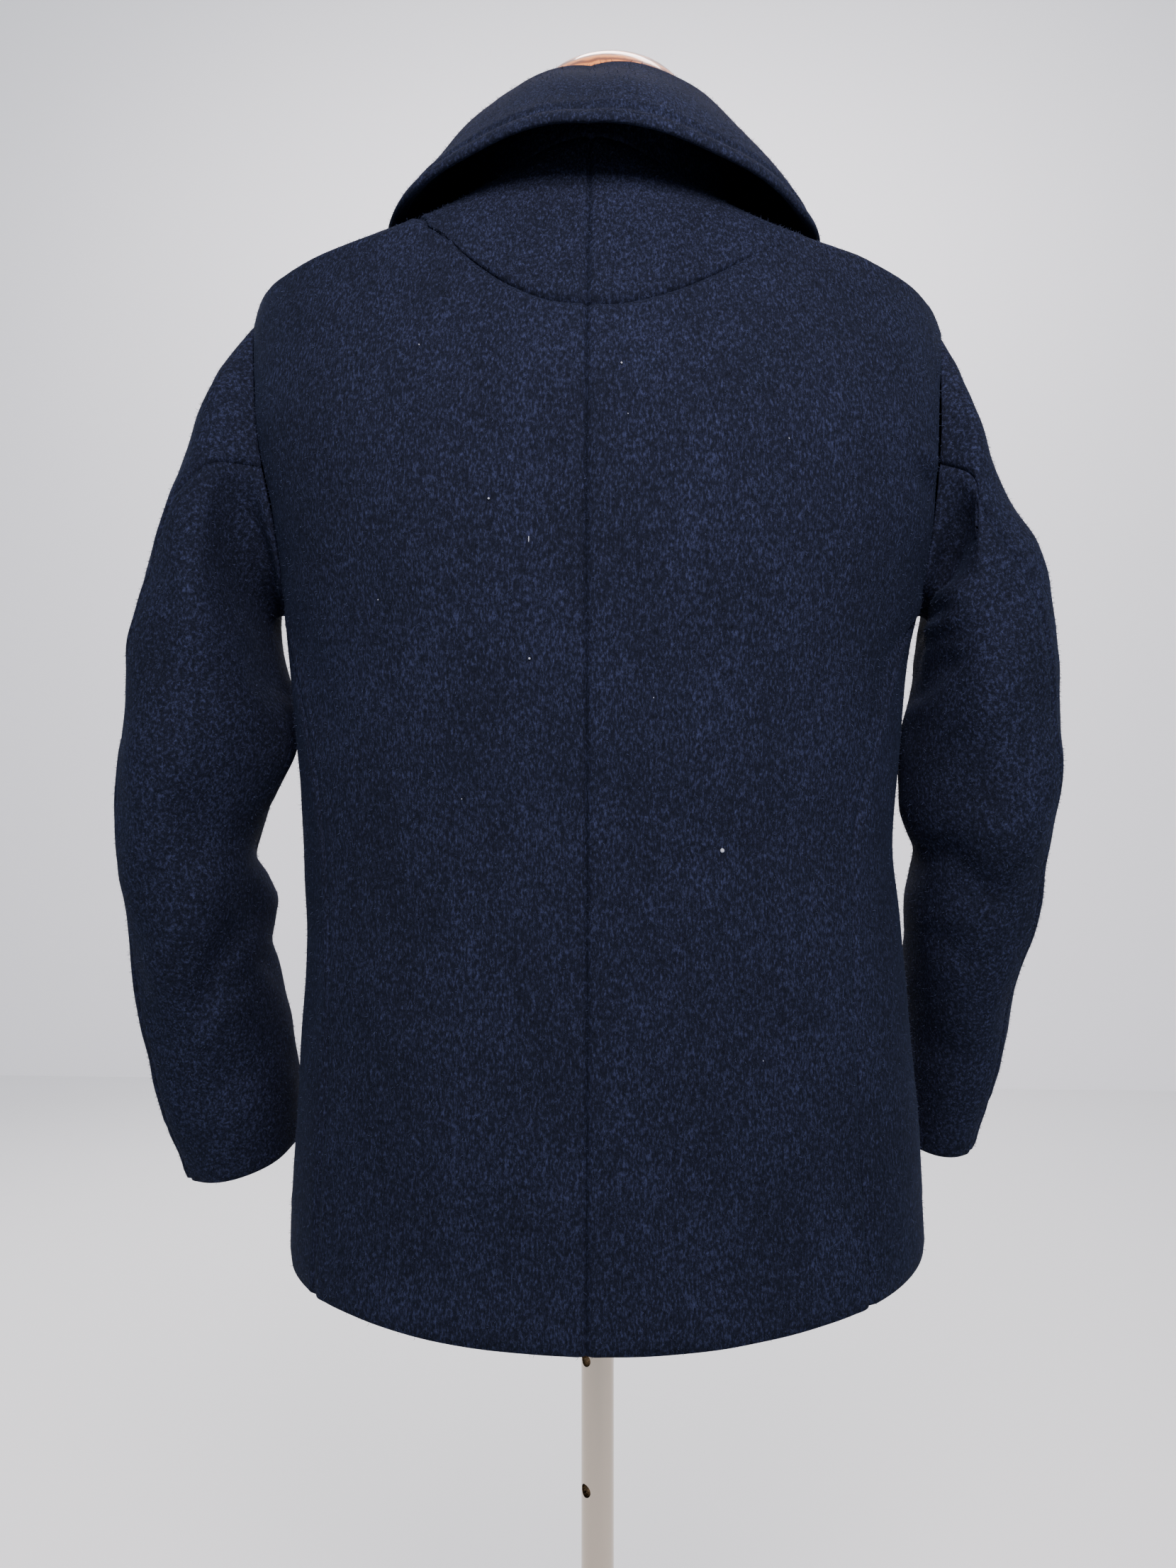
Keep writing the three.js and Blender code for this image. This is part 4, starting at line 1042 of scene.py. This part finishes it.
def yoke_piece(side, name):
    grid, normal = yoke_grid(side)
    low, _, outer, centre = edge_distance(grid)
    rise = moon_seam(low, side, grid[..., 0])
    rise += seam(outer) + seam(centre, *CENTRE_SEAM) + waver(grid, 90, 0.4, 8)
    dress(name, "back", grid, normal, rise, CLOTH)


def sleeve_piece(side, upper, name):
    grid, normal, turn = sleeve_grid(side, upper)
    top, cuff, first, last = edge_distance(grid)
    x, z = grid[..., 0], grid[..., 2]
    behind = smoothstep(-25, 20, turn) * (1 - smoothstep(165, 205, turn))
    back_rows, front_rows = (
        (LEFT_BACK_FOLDS, LEFT_FRONT_FOLDS) if side > 0 else (RIGHT_BACK_FOLDS, RIGHT_FRONT_FOLDS)
    )
    rise = seam(first) + seam(last) + seam(top, 0.5, 1.4, 0.1)
    rise += stitch_row(cuff, CUFF_DEPTH, 0.5) - 1.0 * bell(cuff, EDGE_WIDTH)
    hung = folds(x, z, back_rows) * behind + folds(x, z, front_rows) * (1 - behind)
    rise += hung * smoothstep(0, 14, top)
    rise += (waver(grid, 80, 1.4, 11 + side) + waver(grid, 30, 0.4, 15 + side)) * smoothstep(0, 30, top)
    dress(name, "sleeve", grid, normal, rise, turned_up(cuff, CUFF_DEPTH), lay=(0, 0, -0.25))


def collar_piece():
    middle, top_side = collar_grid()
    inner_row, edge, left_end, right_end = edge_distance(middle)
    if top_side[len(middle) // 2, middle.shape[1] // 2, 2] < 0:
        top_side = -top_side
    rim = 1.2 * sum(bell(distance, 2.4) for distance in (edge, left_end, right_end))
    rise = stitch_row(edge, 11, 1.4) + waver(middle, 70, 0.8, 21) * smoothstep(0, 25, inner_row) - rim
    grid = middle + top_side * (COLLAR_CLOTH / 2)
    dress("collar", "back", grid, top_side, rise, COLLAR_CLOTH - rim, lay=(0, 0, -0.4))


HANDS = ((1, "left"), (-1, "right"))
for side, hand in HANDS:
    back_piece(side, f"back_{hand}")
for side, hand in HANDS:
    front_piece(side, f"front_{hand}")
for side, hand in HANDS:
    yoke_piece(side, f"yoke_{hand}")
for side, hand in HANDS:
    sleeve_piece(side, True, f"sleeve_top_{hand}")
    sleeve_piece(side, False, f"sleeve_under_{hand}")
collar_piece()


THREAD_PROFILE = [(0, -2.6), (0.5, -2.4), (0.75, -1.6), (0.75, 1.6), (0.5, 2.4), (0, 2.6)]


def button_piece(number, h):
    """A horn button with a raised rim, sewn to the left front by two bars of thread."""
    outer, normal = body_cloth(1, np.array(float(h)), np.array(180.0))
    turn = Vector((0, 0, 1)).rotation_difference(Vector(normal))
    r = BUTTON_RADIUS
    profile = [
        (0, GAP), (r - 1.5, GAP), (r - 0.3, 0.9), (r, 1.7), (r, 2.7), (r - 0.4, 3.4), (r - 1.2, 3.8),
        (r - 2.4, 3.7), (r - 3.4, 3.1), (r - 4.6, 2.85), (0, 2.8),
    ]
    disc = turned(f"button_{number}_disc", profile, outer, turn, 48)
    ride(disc, "horn", "horn", f"button_{number}")
    lying = Quaternion((1, 0, 0), math.radians(90))
    for letter, x in (("a", -1.7), ("b", 1.7)):
        thread = turned(f"button_{number}_thread_{letter}", THREAD_PROFILE, segments=12)
        spin(thread, turn @ lying, outer + np.array(turn @ Vector((x, 0, 3.2))))
        ride(thread, "thread", "horn")


def spin(obj, turn, place):
    """Turns and moves a piece's mesh, so that the object itself stays at the origin."""
    for vertex in obj.data.vertices:
        vertex.co = turn @ vertex.co + Vector(place) * MM


for number, height in enumerate(BUTTON_HEIGHTS, 1):
    button_piece(number, height)


def cap_piece():
    """The turned cap on the form's neck: a rounded rim and a low dome."""
    low = NECK_TOP + GAP
    rim_top = low + CAP_RIM
    dome = [
        (CAP_RADIUS * math.cos(a) - 1.2 * math.sin(2 * a), mix(rim_top, CAP_TOP, math.sin(a)))
        for a in np.radians(np.linspace(0, 88, 26))
    ]
    rounding = [(3, 0), (1.2, 0.5), (0.3, 1.4), (0, 3)]
    rim = [(CAP_RADIUS - inward, low + up) for inward, up in rounding]
    cap = turned("neck_cap", [(0, low)] + rim + dome + [(0, CAP_TOP)], (*NECK_AXIS, 0))
    ride(cap, "wood", "lacquered_wood", "form_neck_cap")


def torso_piece():
    """The form's torso under the jacket, covered in linen up to the cap."""
    count = 96
    angles = np.arange(count) * 360 / count
    side = np.where(angles <= 180, 1, -1)
    turn = np.where(angles <= 180, angles, 360 - angles)
    clear = np.minimum(np.abs(turn - 90) * 0.12, 5)
    inset = SOLID_CLOTH + GAP + clear + 2 * smoothstep(120, 150, turn)

    def loop(h):
        _, narrow, shallow = look_up(TORSO, h)
        level = np.full(count, float(h))
        left, right = (
            body_point(s, level, turn) - body_normal(s, level, turn) * inset[:, None] for s in (1, -1)
        )
        ring = np.where(side[:, None] > 0, left, right)
        mid = look_up(BODY, h)[5]
        ring[:, 0] *= 1 - narrow
        ring[:, 1] = mid + (ring[:, 1] - mid) * (1 - shallow)
        return ring

    def circle(radius, z, x=0, y=0):
        a = np.radians(angles)
        return np.stack([x + radius * np.sin(a), y + radius * np.cos(a), np.full(count, float(z))], 1)

    root = loop(MOON_TOP)
    top = circle(NECK_RADIUS, NECK_TOP, *NECK_AXIS)
    neck = []
    for s in np.linspace(0.06, 1, 14):
        eased = 1 - (1 - s) ** 8
        aim = top - np.array([NECK_AXIS[0] * (1 - s), 0, 0])
        ring = mix(root, aim, eased)
        ring[:, 2] = mix(root[:, 2], NECK_TOP, s)
        neck.append(ring)
    foot = TORSO[0][0]
    heights = [foot] + steps(foot, SHOULDER_POINT, 26) + steps(SHOULDER_POINT, MOON_TOP, 8)
    socket = [circle(POLE_RADIUS + GAP, z) for z in (SOCKET_TOP, SOCKET_MOUTH)]
    rings = socket + [loop(h) for h in heights] + neck
    points = np.concatenate([[(0, 0, SOCKET_TOP)], *rings, [(*NECK_AXIS, NECK_TOP)]])
    torso = make_mesh("torso_linen", points, lofted_faces(len(rings), count))
    finish_loft(torso, len(rings), count)
    ride(torso, "linen", "linen", "form_torso")


def pole_piece():
    """The pole keeps its drilled solid's shape, with smooth sides."""
    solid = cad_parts["form_pole"]
    pole = linked("pole", solid.data.copy())
    pole.matrix_world = solid.matrix_world
    pole.data.materials.clear()
    pole.data.shade_smooth()
    pole.data.set_sharp_from_angle(angle=math.radians(30))
    ride(pole, "chrome", "chrome", "form_pole")


def base_piece():
    """The foot plate, with a collar round the pole's socket."""
    r, top, socket = BASE_RADIUS, BASE_HEIGHT, POLE_RADIUS + GAP
    profile = [
        (0, 0), (r - 1, 0), (r, 1), (r, top - 5.5), (r - 0.5, top - 4.6), (r - 1.5, top - 4),
        (60, top - 1.2), (27, top), (24, top + 4), (22, top + 16), (20.5, top + 17.6), (19, top + 18),
        (socket, top + 18), (socket, top), (0, top),
    ]
    ride(turned("base_plate", profile), "chrome", "chrome", "form_base")


cap_piece()
torso_piece()
pole_piece()
base_piece()


# Floor, wall, light and camera

def stage_plane(name, size, place, turn, code, rough):
    bpy.ops.mesh.primitive_plane_add(size=size, location=place, rotation=turn)
    plane = bpy.context.object
    plane.name = name
    plane.data.materials.append(plain(name, code, rough))


def area_light(name, place, aim, size, power, code):
    data = bpy.data.lights.new(name, "AREA")
    data.shape, data.size, data.size_y = "RECTANGLE", size[0], size[1]
    data.energy, data.color = power, linear(code)[:3]
    light = linked(name, data)
    light.location = place
    light.rotation_euler = (Vector(aim) - Vector(place)).to_track_quat("-Z", "Y").to_euler()
    light.visible_camera = False


stage_plane("floor", 14, (0, 0, 0), (0, 0, 0), "e6e5e6", 0.8)
stage_plane("wall", 14, (0, -3.2, 0), (math.radians(90), 0, 0), "faf8fb", 0.9)

area_light("key", (-0.12, 1.1, 1.75), (0, 0, 1.35), (0.5, 0.4), 38, "fff0f0")
area_light("ceiling", (-0.15, -0.42, 2.5), (0, -0.15, 1.2), (0.9, 0.3), 14, "fff0ee")
area_light("room", (-1.2, 2.4, 2.0), (0, 0, 1.1), (1.6, 1.6), 18, "f0f4ff")
area_light("front", (0.9, -2.4, 2.1), (0, 0, 1.1), (1.8, 1.4), 45, "fbf7f6")
area_light("backdrop", (0, -1.6, 3.2), (0, -3.2, 1.6), (3.0, 0.6), 60, "fffafc")

world = bpy.data.worlds.new("room_air")
bpy.context.scene.world = world
world.use_nodes = True
air = world.node_tree.nodes["Background"]
air.inputs["Color"].default_value = linear("e4ecf4")
air.inputs["Strength"].default_value = 0.9

FILM_WIDTH = 36.0  # mm
FOCAL_LENGTH = 1661  # in pixels, like the picture's width
PICTURE_WIDTH = 1659
camera_data = bpy.data.cameras.new("camera")
camera_data.sensor_fit = "HORIZONTAL"
camera_data.sensor_width = FILM_WIDTH
camera_data.lens = FILM_WIDTH * FOCAL_LENGTH / PICTURE_WIDTH
camera_data.clip_start = 0.01
camera = linked("camera", camera_data)
camera.location = (-0.0349, 0.7892, 1.015)
camera.rotation_euler = Vector((0.0523, -0.9986, 0.0)).to_track_quat("-Z", "Y").to_euler()
bpy.context.scene.camera = camera
